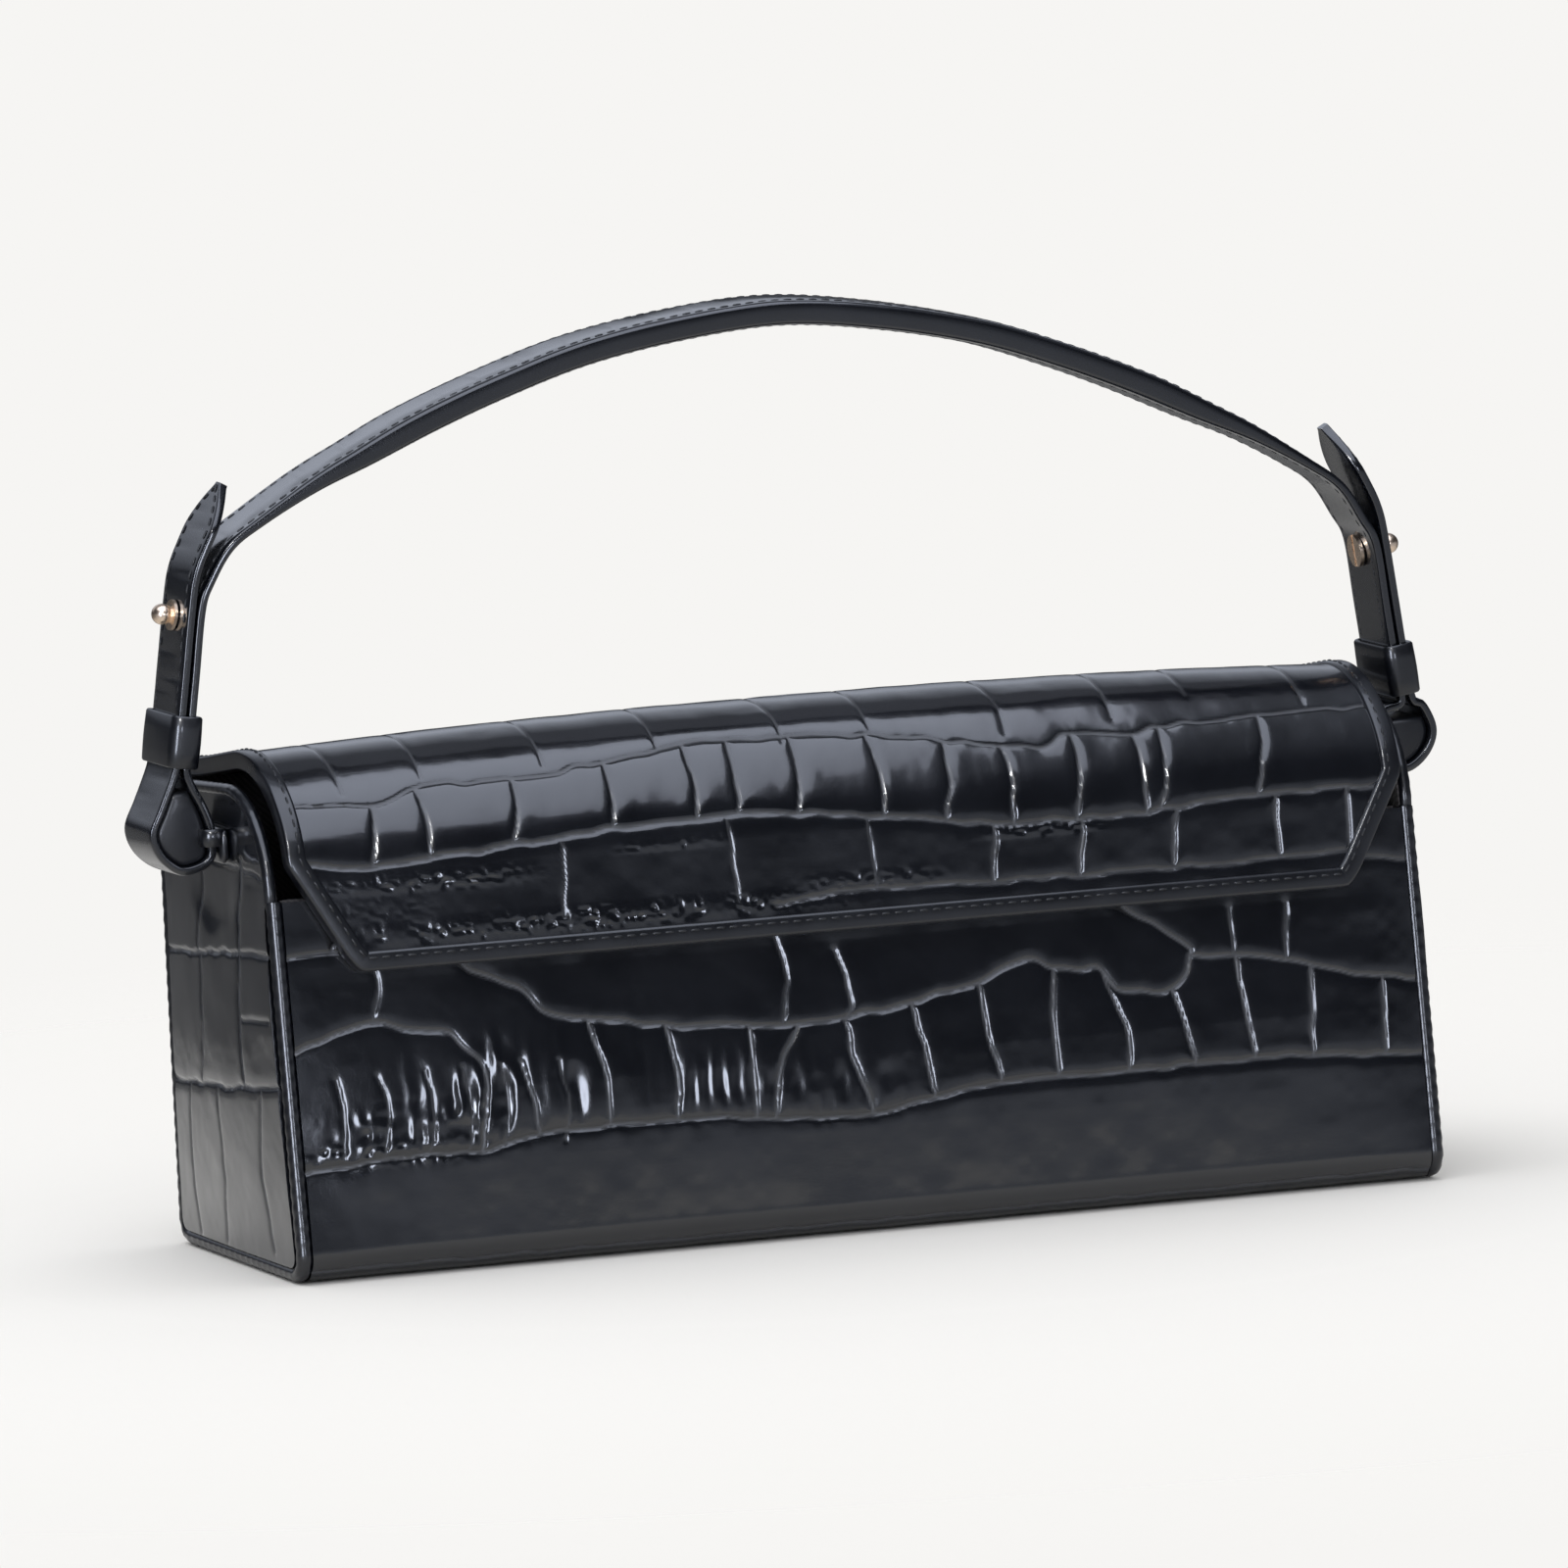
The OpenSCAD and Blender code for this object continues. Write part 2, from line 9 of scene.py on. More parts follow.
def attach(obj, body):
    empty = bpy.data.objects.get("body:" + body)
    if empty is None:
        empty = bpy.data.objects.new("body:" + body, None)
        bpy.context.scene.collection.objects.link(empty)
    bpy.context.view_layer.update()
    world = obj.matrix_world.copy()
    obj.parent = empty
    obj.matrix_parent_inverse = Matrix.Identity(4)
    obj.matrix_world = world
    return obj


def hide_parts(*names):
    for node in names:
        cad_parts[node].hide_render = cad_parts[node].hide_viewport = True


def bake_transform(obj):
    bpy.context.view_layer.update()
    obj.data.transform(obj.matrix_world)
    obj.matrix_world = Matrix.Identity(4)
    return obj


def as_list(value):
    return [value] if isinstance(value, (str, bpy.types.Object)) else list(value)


bl_info = {
    "name": "Baguette bag",
    "version": (1, 0, 0),
    "blender": (4, 5, 0),
    "location": "View3D > Sidebar > Bag",
    "description": "Dresses the packed solids of a baguette bag in embossed leather",
    "category": "Object",
}

MM = 0.001
SIDES = ((-1, "left"), (1, "right"))
SOFT_GAP = 0.4  # clearance between soft pieces that move on each other
SHARP = 50  # edges that turn by more degrees than this are shaded sharp
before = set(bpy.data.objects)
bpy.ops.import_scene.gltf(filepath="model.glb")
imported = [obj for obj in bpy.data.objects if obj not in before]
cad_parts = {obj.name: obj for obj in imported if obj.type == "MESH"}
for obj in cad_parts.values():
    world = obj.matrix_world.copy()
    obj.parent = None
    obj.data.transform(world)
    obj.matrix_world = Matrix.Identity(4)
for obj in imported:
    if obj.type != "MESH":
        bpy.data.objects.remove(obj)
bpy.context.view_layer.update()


# The sizes and colours a user may change


def length(name, text, default):
    return bpy.props.FloatProperty(name=name, description=text, default=default * MM, unit="LENGTH", precision=4)


def colour(name, text, default):
    return bpy.props.FloatVectorProperty(
        name=name, description=text, default=default, subtype="COLOR", size=3, min=0.0, max=1.0
    )


def number(name, text, default, low=0.0, high=1.0):
    return bpy.props.FloatProperty(name=name, description=text, default=default, min=low, max=high)


def angle(name, text, degrees):
    return bpy.props.FloatProperty(name=name, description=text, default=math.radians(degrees), subtype="ANGLE")


class BagCaseSizes(bpy.types.PropertyGroup):
    case_l: length("Length", "Length of the case over the gussets", 280)
    case_d: length("Depth", "Depth of the base", 82)
    front_h: length("Front height", "Height of the front panel", 85)
    back_h: length("Back height", "Height of the back panel", 106)
    front_lean: length("Front lean", "How far the front leans back on the way up", 12.5)
    back_lean: length("Back lean", "How far the back leans out on the way up", 4)
    corner_r: length("Corner radius", "Outer radius of the two long bottom edges", 6)
    leather_t: length("Leather", "Thickness of the case's leather", 1.8)
    piping_d: length("Piping", "Thickness of the piping round each gusset", 3.2)
    swell: length("Swell", "How far the panels bulge in their middle", 0.9)


class BagFlapSizes(bpy.types.PropertyGroup):
    top: length("Top", "Height of the ridge", 117)
    ridge_r: length("Ridge radius", "Outer radius of the ridge", 30)
    edge_h: length("Edge height", "Height of the flap's lower edge", 68.5)
    edge_l: length("Edge length", "Length of the flap's lower edge", 243)
    side_h: length("Side height", "Height at which the flap's sides start to taper", 93.5)
    short: length("Short of the ends", "How far the flap stops short of each gusset", 4)
    leather_t: length("Leather", "Thickness of the flap's leather", 1.6)
    flap_t: length("Thickness", "Thickness of the flap's three layers", 3.1)
    binding_w: length("Binding", "Width of the binding on the flap's face", 4.5)
    strip_h: length("Back strip", "How far the flap's leather goes down the back", 22)
    rise: length("Rise", "How much higher the ridge stands in the middle than at its ends", 3.2)


class BagHandleSizes(bpy.types.PropertyGroup):
    strap_w: length("Width", "Width of the strap", 18)
    end_t: length("End thickness", "Thickness of the strap's folded ends", 2.2)
    mid_t: length("Middle thickness", "Thickness of the strap in the middle of the arch", 6)
    top: length("Top", "Height of the top of the arch", 209.5)
    stand_back: length("Stand back", "How far the handle stands behind the middle of the base", 7)
    draw_up: length("Draw-up", "How much higher the handle's left end is drawn up, and lower its right", 3)
    keeper_h: length("Keeper height", "Height of each keeper", 11.8)
    keeper_t: length("Keeper leather", "Thickness of the keepers' leather", 1.2)


class BagLook(bpy.types.PropertyGroup):
    leather: colour("Leather", "Colour of the leather", (0.0036, 0.0046, 0.0080))
    # The creases' colour is a painted highlight: drawn lighter than the leather, it stands in for the light that
    # their walls catch.
    crease: colour("Creases", "Colour in the creases between the scales", (0.105, 0.112, 0.130))
    cloth: colour("Lining", "Colour of the lining cloth", (0.075, 0.068, 0.074))
    gilt: colour("Fittings", "Colour of the studs", (0.88, 0.70, 0.54))
    gloss: number("Gloss", "Roughness of the leather's finish", 0.20)
    crease_depth: length("Crease depth", "Depth of the creases between the scales", 0.40)
    crease_w: length("Crease width", "Half the width of a crease", 0.42)
    dome: length("Scale crown", "How far a scale's middle stands above its edge", 0.20)
    stitch: length("Stitch", "Length of one stitch with its gap", 3.1)


class BagStage(bpy.types.PropertyGroup):
    floor: colour("Floor", "Colour of the floor and the backdrop", (0.922, 0.913, 0.896))
    world: number("World light", "Strength of the light from all round", 0.72, 0.0, 3.0)
    azimuth: angle("Azimuth", "How far the camera stands to the left of the front", 21.35)
    elevation: angle("Elevation", "How far the camera looks down", 7.02)
    roll: angle("Roll", "How far the camera is tilted sideways", 2.05)
    lens: number("Lens", "Focal length in millimetres on a 36 mm sensor", 402.3, 10.0, 1000.0)


GROUPS = (
    ("bag_case", BagCaseSizes),
    ("bag_flap", BagFlapSizes),
    ("bag_handle", BagHandleSizes),
    ("bag_look", BagLook),
    ("bag_stage", BagStage),
)


class Sizes:
    """A property group's values, with its lengths in millimetres."""

    def __init__(self, group):
        values = getattr(bpy.context.scene, next(name for name, kind in GROUPS if kind is group))
        for key in group.__annotations__:
            value = getattr(values, key)
            is_length = group.bl_rna.properties[key].unit == "LENGTH"
            setattr(self, key, value / MM if is_length else value)


# Lines and curves, in millimetres


def array(points):
    return np.array(points, dtype=float)


def arc(centre, r, a0, a1, n):
    a = np.radians(np.linspace(a0, a1, n + 1))
    return np.stack([centre[0] + r * np.cos(a), centre[1] + r * np.sin(a)], 1)


def curve(points, n):
    """A smooth line through the points, with n steps between each two."""
    p = array(points)
    before = np.vstack([p[:1], p[:-2]])
    after = np.vstack([p[2:], p[-1:]])
    a, b = p[:-1], p[1:]
    out = []
    for t in np.arange(n) / n:
        out.append(0.5 * (2 * a + (b - before) * t + (2 * before - 5 * a + 4 * b - after) * t * t
                          + (3 * a - before - 3 * b + after) * t ** 3))
    return np.vstack([np.stack(out, 1).reshape(-1, p.shape[1]), p[-1:]])


def distances(line):
    """How far along a line each of its points lies."""
    return np.concatenate([[0], np.cumsum(np.linalg.norm(np.diff(line, axis=0), axis=1))])


def sampled(at, run, values):
    """Rows of values that stand at the distances run, read off at other distances."""
    return np.stack([np.interp(at, run, column) for column in values.T], 1)


def spaced(line, step):
    """The line's points again at an even spacing, and their distances along it."""
    line = array(line)
    run = distances(line)
    at = np.linspace(0, run[-1], max(3, int(round(run[-1] / step)) + 1))
    return sampled(at, run, line), at


def unit(rows):
    return rows / np.linalg.norm(rows, axis=1)[:, None]


def tangents(line):
    return unit(np.gradient(line, axis=0))


def left_of(line):
    """Unit normals on the left of a flat line."""
    d = tangents(line)
    return np.stack([-d[:, 1], d[:, 0]], 1)


def beside(gx, line, normal, away, lift=0.0):
    """A flat line [x, z] carried along each row of gx, moved along its normals and then upwards."""
    away = np.broadcast_to(away, gx.shape)
    return np.stack([gx, line[:, 0] + normal[:, 0] * away, line[:, 1] + normal[:, 1] * away + lift], -1)


def upright(flat):
    """Flat vectors [a, b] as [0, a, b]."""
    return np.stack([np.zeros(len(flat)), flat[:, 0], flat[:, 1]], 1)


def ease(t):
    t = np.clip(t, 0, 1)
    return t * t * (3 - 2 * t)


def hills(x, y, size, seed):
    """Smooth random heights from 0 to 1 over hills of a given size."""
    n = 48
    grid = np.random.RandomState(seed).rand(n, n)
    u, v = x / size + 1000, y / size + 1000
    i, j = np.floor(u).astype(int), np.floor(v).astype(int)
    s, t = ease(u - i), ease(v - j)
    i0, i1, j0, j1 = i % n, (i + 1) % n, j % n, (j + 1) % n
    low = grid[i0, j0] * (1 - s) + grid[i1, j0] * s
    return low * (1 - t) + (grid[i0, j1] * (1 - s) + grid[i1, j1] * s) * t


# Meshes


def make_piece(name, points, faces, body, finish, nodes=(), crease=None, slot=None):
    """A visible piece that rides on a body and stands for nodes. A piece given no body is left unattached."""
    mesh = bpy.data.meshes.new(name)
    mesh.from_pydata((np.asarray(points) * MM).tolist(), [], faces)
    mesh.validate()
    shell = bmesh.new()
    shell.from_mesh(mesh)
    bmesh.ops.recalc_face_normals(shell, faces=shell.faces)
    shell.to_mesh(mesh)
    shell.free()
    mesh.shade_smooth()
    mesh.set_sharp_from_angle(angle=math.radians(SHARP))
    # The mask of the highlight painted along the creases, kept on the mesh for the leather's shader
    if crease is not None:
        values = np.asarray(crease, dtype=np.float32)
        mesh.attributes.new("crease", "FLOAT", "POINT").data.foreach_set("value", values)
    piece = bpy.data.objects.new(name, mesh)
    bpy.context.scene.collection.objects.link(piece)
    mesh.materials.append(material(finish))
    if body:
        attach(piece, body)
    if nodes:
        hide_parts(*nodes)
    slot or FINISHES[finish][1]
    return piece


def grid_faces(rows, cols, start=0, wrap_rows=False, wrap_cols=False, flip=False):
    """The four-sided faces of a grid of points, given row by row."""
    r = np.arange(rows if wrap_rows else rows - 1)
    c = np.arange(cols if wrap_cols else cols - 1)
    r, c = np.meshgrid(r, c, indexing="ij")
    r2, c2 = (r + 1) % rows, (c + 1) % cols
    quad = np.stack([r * cols + c, r * cols + c2, r2 * cols + c2, r2 * cols + c], -1).reshape(-1, 4) + start
    return (quad[:, ::-1] if flip else quad).tolist()


def tube_faces(rows, cols):
    """Faces of a tube of rings, closed at both ends."""
    ends = [list(range(cols))[::-1], list(range((rows - 1) * cols, rows * cols))]
    return grid_faces(rows, cols, wrap_cols=True) + ends


def two_skins(outer, inner, spans=12):
    """Points and faces of a sheet between two grids, closed round its rim. The hidden inner one is
    drawn with few spans along its length."""
    outer, inner = outer.transpose(1, 0, 2), inner.transpose(1, 0, 2)
    rows, cols = outer.shape[:2]
    pick = np.unique(np.linspace(0, cols - 1, min(cols, spans + 1)).round().astype(int))
    few = len(pick)
    n = rows * cols
    points = np.vstack([outer.reshape(-1, 3), inner[:, pick].reshape(-1, 3)])
    faces = grid_faces(rows, cols) + grid_faces(rows, few, n, flip=True)
    for r in range(rows - 1):
        for c, k in ((0, 0), (cols - 1, few - 1)):
            faces.append([r * cols + c, (r + 1) * cols + c, n + (r + 1) * few + k, n + r * few + k])
    for r in (0, rows - 1):
        for k in range(few - 1):
            face = [r * cols + c for c in range(pick[k], pick[k + 1] + 1)]
            faces.append(face + [n + r * few + k + 1, n + r * few + k])
    return points, faces


def outer_mask(mask, points):
    """A mask on the outer grid as one value for each of a sheet's points."""
    flat = mask.T.ravel()
    return np.concatenate([flat, np.zeros(len(points) - len(flat))])


def swept(path, across, up, section):
    """Points and faces of a section carried along a path. section is [m, 2] or [n, m, 2]."""
    section = np.asarray(section, dtype=float)
    if section.ndim == 2:
        section = np.repeat(section[None], len(path), 0)
    ring = path[:, None] + across[:, None] * section[..., :1] + up[:, None] * section[..., 1:]
    return ring.reshape(-1, 3), tube_faces(*ring.shape[:2])


def rounded_box(w, t, r, steps):
    """A rounded rectangle's outline, w across and t thick, anticlockwise from its right side."""
    r = min(r, w / 2 - 1e-4, t / 2 - 1e-4)
    x, y = w / 2 - r, t / 2 - r
    corners = [(x, y, 0), (-x, y, 90), (-x, -y, 180), (x, -y, 270)]
    return np.vstack([arc((x, y), r, a, a + 90, steps) for x, y, a in corners])


def ring_band(place, loop, profile):
    """A closed band: a profile of (outwards, upwards) points carried round a rounded rectangle."""
    w, t, r = loop
    rings = []
    for out, up in profile:
        flat = rounded_box(w + 2 * out, t + 2 * out, r + out, 5)
        rings.append(place(flat[:, 0], flat[:, 1], np.full(len(flat), up)))
    ring = np.stack(rings)
    return ring.reshape(-1, 3), grid_faces(len(profile), ring.shape[1], wrap_rows=True, wrap_cols=True, flip=True)


def merged(parts):
    """Several meshes' points and faces as one."""
    points, faces, start = [], [], 0
    for p, f in parts:
        points.append(p)
        faces += [[i + start for i in face] for face in f]
        start += len(p)
    return np.vstack(points), faces


def stitches(path, normal, pitch, thick=0.55):
    """A row of thread stitches that lie on a surface along a path."""
    even, run = spaced(path, pitch / 8)
    n = int(run[-1] // pitch)
    centre = (np.arange(n) + 0.5) * run[-1] / n
    up = unit(sampled(centre, distances(path), normal))
    along = sampled(centre, run, tangents(even))
    along = unit(along - up * np.einsum("ij,ij->i", along, up)[:, None])
    side = np.cross(along, up)
    proud = 0.05
    mid = sampled(centre, run, even) + up * proud
    half = 0.5 * pitch * 0.74
    # Each ring of a stitch: place along it, thickness and height, as shares of its own
    stations = [(-1, 0.25, -0.35), (-0.72, 0.9, 0.0), (0, 1, 0.12), (0.72, 0.9, 0.0), (1, 0.25, -0.35)]
    ring = 6
    angles = np.arange(ring) * 2 * math.pi / ring
    shape = array([(s * half, math.cos(a) * r * thick / 2, math.sin(a) * r * thick / 2 + d * thick)
                   for s, r, d in stations for a in angles])
    points = (mid[:, None] + along[:, None] * shape[None, :, :1] + side[:, None] * shape[None, :, 1:2]
              + up[:, None] * shape[None, :, 2:])
    faces = [[i + k * len(shape) for i in face] for k in range(n) for face in tube_faces(len(stations), ring)]
    return points.reshape(-1, 3), faces


# The bag's own lines, in millimetres


class CaseLines:
    """The case's cross-section as [y, z], and its inner lines a depth inside it."""

    def __init__(self, s):
        self.s = s
        self.half_l, self.half_d = s.case_l / 2, s.case_d / 2
        self.lean = math.atan(s.front_lean / s.front_h)
        self.out = math.atan(s.back_lean / s.back_h)
        r = s.corner_r
        self.front_corner = (-self.half_d + r * (1 + math.sin(self.lean)) / math.cos(self.lean), r)
        self.back_corner = (self.half_d - r * (1 - math.sin(self.out)) / math.cos(self.out), r)

    def front_at(self, z, depth):
        return [-self.half_d + (z * math.sin(self.lean) + depth) / math.cos(self.lean), z]

    def back_at(self, z, depth):
        return [self.half_d + (z * math.sin(self.out) - depth) / math.cos(self.out), z]

    def front_line(self, top, depth):
        return np.vstack([[self.front_at(top, depth)],
                          arc(self.front_corner, self.s.corner_r - depth, 180 - math.degrees(self.lean), 270, 8)])

    def back_line(self, top, depth):
        return np.vstack([arc(self.back_corner, self.s.corner_r - depth, -90, -math.degrees(self.out), 8),
                          [self.back_at(top, depth)]])


class FlapLines:
    """The flap's cross-section: a hinge, an arc over the ridge and a flat front."""

    def __init__(self, s, case):
        self.s, self.case = s, case
        c = case
        self.c = (c.front_at(s.top - s.ridge_r, s.ridge_r - s.flap_t - SOFT_GAP)[0], s.top - s.ridge_r)
        hinge_z = c.s.back_h + s.flap_t / 2 + SOFT_GAP
        self.hinge = array(c.back_at(hinge_z, -s.leather_t / 2))
        self.mid_r = s.ridge_r - s.flap_t / 2
        arm = self.hinge - array(self.c)
        self.a0 = math.degrees(math.atan2(arm[1], arm[0]) + math.acos(self.mid_r / np.linalg.norm(arm)))
        self.a1 = 180 - math.degrees(c.lean)
        self.half = c.half_l - s.short

    def foot(self, out):
        lean, s = self.case.lean, self.s
        away = SOFT_GAP + s.flap_t / 2 + out
        return array(self.case.front_at(s.edge_h, 0)) + away * array([-math.cos(lean), math.sin(lean)])

    def over(self, out):
        """From the hinge over the ridge and down to the lower edge, a distance outside the middle."""
        a = math.radians(self.a0)
        return np.vstack([[self.hinge + out * array([math.cos(a), math.sin(a)])],
                          arc(self.c, self.mid_r + out, self.a0, self.a1, 40), [self.foot(out)]])

    def whole(self, out):
        """The same, with the leather that goes down the back before it."""
        c, s = self.case, self.s
        foot = c.back_at(c.s.back_h - s.strip_h, -s.leather_t)
        nose = arc(self.hinge, out, -math.degrees(c.out), self.a0, 8)
        return np.vstack([[foot], nose, self.over(out)[1:]])

    def half_width(self, z, front):
        """Half the flap's length at a height on its front, with its lower corners rounded."""
        s = self.s
        w = np.interp(z, [s.edge_h, s.side_h], [s.edge_l / 2, self.half])
        r = 5.0
        t = np.clip((z - s.edge_h) / r, 0, 1)
        w = w - 0.45 * r * (1 - np.sqrt(1 - (1 - t) ** 2))
        return np.where(front, w, self.half)

    def rise(self, x, points):
        """How much the soft ridge stands up in the middle of its length."""
        over = ease((points[..., 1] - 97) / 18) * ease((self.hinge[0] + 1 - points[..., 0]) / 22)
        off_hinge = ease((np.linalg.norm(points - self.hinge, axis=-1) - 1) / 8)
        return over * self.s.rise * (0.62 - (np.abs(x) / self.half) ** 2.2) * off_hinge


class HandleLines:
    """The strap's middle lines, as [x, z] on one side; side is 1 on the right and -1 on the left. Its
    fixed sizes are those of the solids."""

    lean = math.radians(8)
    leg_top, leg_out = 146, 8.1
    anchor_z, loop_h, loop_t = 94.5, 8, 1.8
    keeper_z, keeper_slide = 110.5, 12
    tip_z, tip_point = 173, 10
    fold_out, fold_drop, seam_gap = 18.3, 5.2, 0.1
    # The arch from its leg to its top, as shares of its half length and its rise
    shape = [(0.981, 0.1), (0.945, 0.23), (0.89, 0.322), (0.8, 0.446), (0.716, 0.54),
             (0.612, 0.655), (0.48, 0.777), (0.334, 0.888), (0.167, 0.964)]

    def __init__(self, s, case):
        self.s = s
        self.y = s.stand_back
        self.half_l = case.half_l
        self.join_z = self.keeper_z + s.keeper_h / 2
        self.tab_out = s.end_t + 2 * self.seam_gap
        self.arch_x = self.leg(self.leg_top, 0)[0]
        self.plate_in = self.half_l + SOFT_GAP / 2
        self.slot_x = self.plate_in + self.loop_t + SOFT_GAP / 2 + s.end_t / 2
        self.band_in = self.slot_x + s.end_t / 2 + SOFT_GAP / 2

    def lift(self, side):
        return -side * self.s.draw_up

    def leg(self, z, out):
        x = self.half_l + self.leg_out - math.tan(self.lean) * (z - self.join_z)
        return [x + out * math.cos(self.lean), z + out * math.sin(self.lean)]

    def arch(self):
        rise = self.s.top - self.s.mid_t / 2 - self.leg_top

        def half(side):
            up = self.lift(side)
            legs = [self.leg(z + up, 0) for z in (self.join_z, (self.join_z + self.leg_top) / 2, self.leg_top)]
            return ([(side * x, z) for x, z in legs]
                    + [(side * a * self.arch_x, self.leg_top + b * rise + a * up) for a, b in self.shape])

        return curve(half(1) + [(0, self.leg_top + rise)] + half(-1)[::-1], 8)

    def thick(self, x):
        """The strap's thickness: thin over its legs and full over the arch."""
        s = self.s
        return s.end_t + (s.mid_t - s.end_t) * ease((0.94 - np.abs(x) / self.arch_x) / 0.32)

    def end(self, side):
        """The folded end: down the leg, through the anchor, round the fold and up to its tip."""
        up, s, sx, az = self.lift(side), self.s, self.slot_x, self.anchor_z
        middle = (self.join_z + self.leg_top) / 2
        top = array(self.leg(self.leg_top + up, self.tab_out))
        fx = self.half_l + self.fold_out - s.end_t / 2
        foot = az - self.fold_drop + s.end_t / 2
        down = [(self.join_z, 0), (self.keeper_z + 2, 0), (self.keeper_z - 2, -0.3)]
        fold = [(sx + 1.6, az + self.loop_h + 1.5), (sx + 0.05, az + self.loop_h / 2 + 0.6), (sx, az + 1),
                (sx + 0.3, az - 1.4), (sx + 2.6, foot + 0.7), (sx + 7.5, foot), (fx - 1.8, az - 0.6),
                (fx, az + 4.5), (fx - 2.4, az + 10.2)]
        back_up = [(self.keeper_z - 2, self.tab_out + 0.5)]
        back_up += [(z, self.tab_out) for z in (self.keeper_z + 2, self.join_z, middle, self.leg_top)]
        tip = [top + (-1.6, 8), top + (-5, 15.5), top + (-11.3, self.tip_z - self.leg_top)]
        return curve([self.leg(z + up, out) for z, out in down] + fold
                     + [self.leg(z + up, out) for z, out in back_up] + tip, 6)

    def solid(self, x, z):
        """A flat line of [x, z] as points at the handle's place."""
        return np.stack([x, np.full(len(x), self.y), z], 1)

    def across(self, x, z):
        """Flat vectors of [x, z] as vectors in space."""
        return np.stack([x, np.zeros(len(x)), z], 1)


# Embossed scales: creases between them, and the crown of each


class Scales:
    """Creases, each a weight and its points, and patches of fine wrinkles between them: each patch is
    its centre, its half length and height, the size of its wrinkles along and up, and their height."""

    def __init__(self, look, lines, seed, wrinkles=()):
        self.look, self.lines, self.seed, self.wrinkles = look, lines, seed, wrinkles

    def relief(self, x, z):
        """Height in millimetres, and the mask of the lighter colour painted along the creases as a highlight, at
        flat places x, z.
        """
        flat = np.stack([x.ravel(), z.ravel()], 1)
        u, v = flat.T
        bent = flat + 0.9 * np.stack([hills(u, v, 4.5, self.seed), hills(u, v, 4.5, self.seed + 5)], 1) - 0.45
        reach = 6.0
        best = np.full(len(flat), reach)
        deep, highlight_mark = np.zeros(len(flat)), np.zeros(len(flat))
        w, depth = self.look.crease_w, self.look.crease_depth
        for weight, line in self.lines:
            line = curve(line, 5) if len(line) > 2 else array(line)
            near = ((u > line[:, 0].min() - reach) & (u < line[:, 0].max() + reach)
                    & (v > line[:, 1].min() - reach) & (v < line[:, 1].max() + reach))
            if not near.any():
                continue
            p = bent[near]
            d2 = np.full(len(p), reach * reach)
            for a, b in zip(line[:-1], line[1:]):
                d = b - a
                t = np.clip(((p - a) @ d) / max(d @ d, 1e-9), 0, 1)
                q = p - a - t[:, None] * d
                d2 = np.minimum(d2, np.einsum("ij,ij->i", q, q))
            dist = np.sqrt(d2)
            best[near] = np.minimum(best[near], dist + (1 - weight) * 2.0)
            deep[near] = np.maximum(deep[near], weight * np.exp(-(dist / w) ** 2))
            # The mask of the painted highlight along the creases, a little narrower than each one
            highlight_mark[near] = np.maximum(highlight_mark[near], weight * np.exp(-(dist / (0.72 * w)) ** 2))
        crown = 1 - np.exp(-(best / 1.7) ** 2)
        rough = hills(u, v, 7, self.seed + 1) - 0.5
        fine = hills(u, v, 2.4, self.seed + 2) - 0.5
        height = self.look.dome * (crown - 1) - depth * deep + 0.17 * rough + 0.035 * fine
        for cx, cz, hx, hz, sx, sz, much in self.wrinkles:
            window = np.exp(-(((u - cx) / hx) ** 4 + ((v - cz) / hz) ** 4))
            folds = hills(bent[:, 0] * (2.0 / sx), bent[:, 1] * (2.0 / sz), 2.0, self.seed + 9)
            ridges = 1 - np.abs(2 * folds - 1) ** 1.6
            height += much * window * (ridges - 0.5)
        return height.reshape(x.shape), highlight_mark.reshape(x.shape)


def scale_field(x0, x1, z0, z1, row, tile, seed, weight=0.75):
    """Lines of a plain field of scales: wavy rows, and dividers set off from row to row."""
    rng = np.random.RandomState(seed)
    rows = max(1, int(round((z1 - z0) / row)))
    lines, levels = [], []
    xs = np.arange(x0 - tile, x1 + 2 * tile, tile)
    for r in range(rows + 1):
        z = z0 + (z1 - z0) * r / rows + (rng.rand(len(xs)) - 0.5) * row * 0.35
        levels.append(np.stack([xs, z], 1))
        if 0 < r < rows:
            lines.append((weight, levels[-1]))
    for r in range(rows):
        low, high = levels[r], levels[r + 1]
        x = x0 + rng.rand() * tile
        while x < x1:
            za, zb = np.interp(x, low[:, 0], low[:, 1]), np.interp(x, high[:, 0], high[:, 1])
            bow = (rng.rand() - 0.5) * 2.4
            bent = [(x + bow * 0.4, za), (x + bow, (za + zb) / 2), (x, zb)]
            lines.append((weight * (0.7 + 0.3 * rng.rand()), bent))
            x += tile * (0.75 + 0.5 * rng.rand())
    return lines


# The front's own creases, over its length and height
BAND_TOP = [
    (-142, 24), (-129, 25.2), (-111, 26.4), (-95, 26.2), (-85, 28), (-73, 29.2), (-40, 29), (-21, 27.2),
    (0, 26.6), (15, 29), (32, 30.7), (63, 30.7), (94, 31.2), (110, 30.5), (128, 29.4), (142, 28.4),
]
WAVE = [
    (-98, 73.5), (-93.5, 66.5), (-83.3, 62), (-77.9, 56.5), (-71, 54.3), (-59.4, 52.2), (-44, 49.9),
    (-31, 49.1), (-17, 48.2), (-5.5, 48.8), (2.4, 49.4), (13.3, 51.2), (28, 53.9), (34.3, 56.2),
    (42.3, 57.9), (46.3, 55.7), (52.3, 54.9), (57.7, 54.5), (61, 50.7), (63.2, 48.8), (69.8, 48.3),
    (75.3, 48.4), (79.9, 51.9), (81.5, 56.5),
]
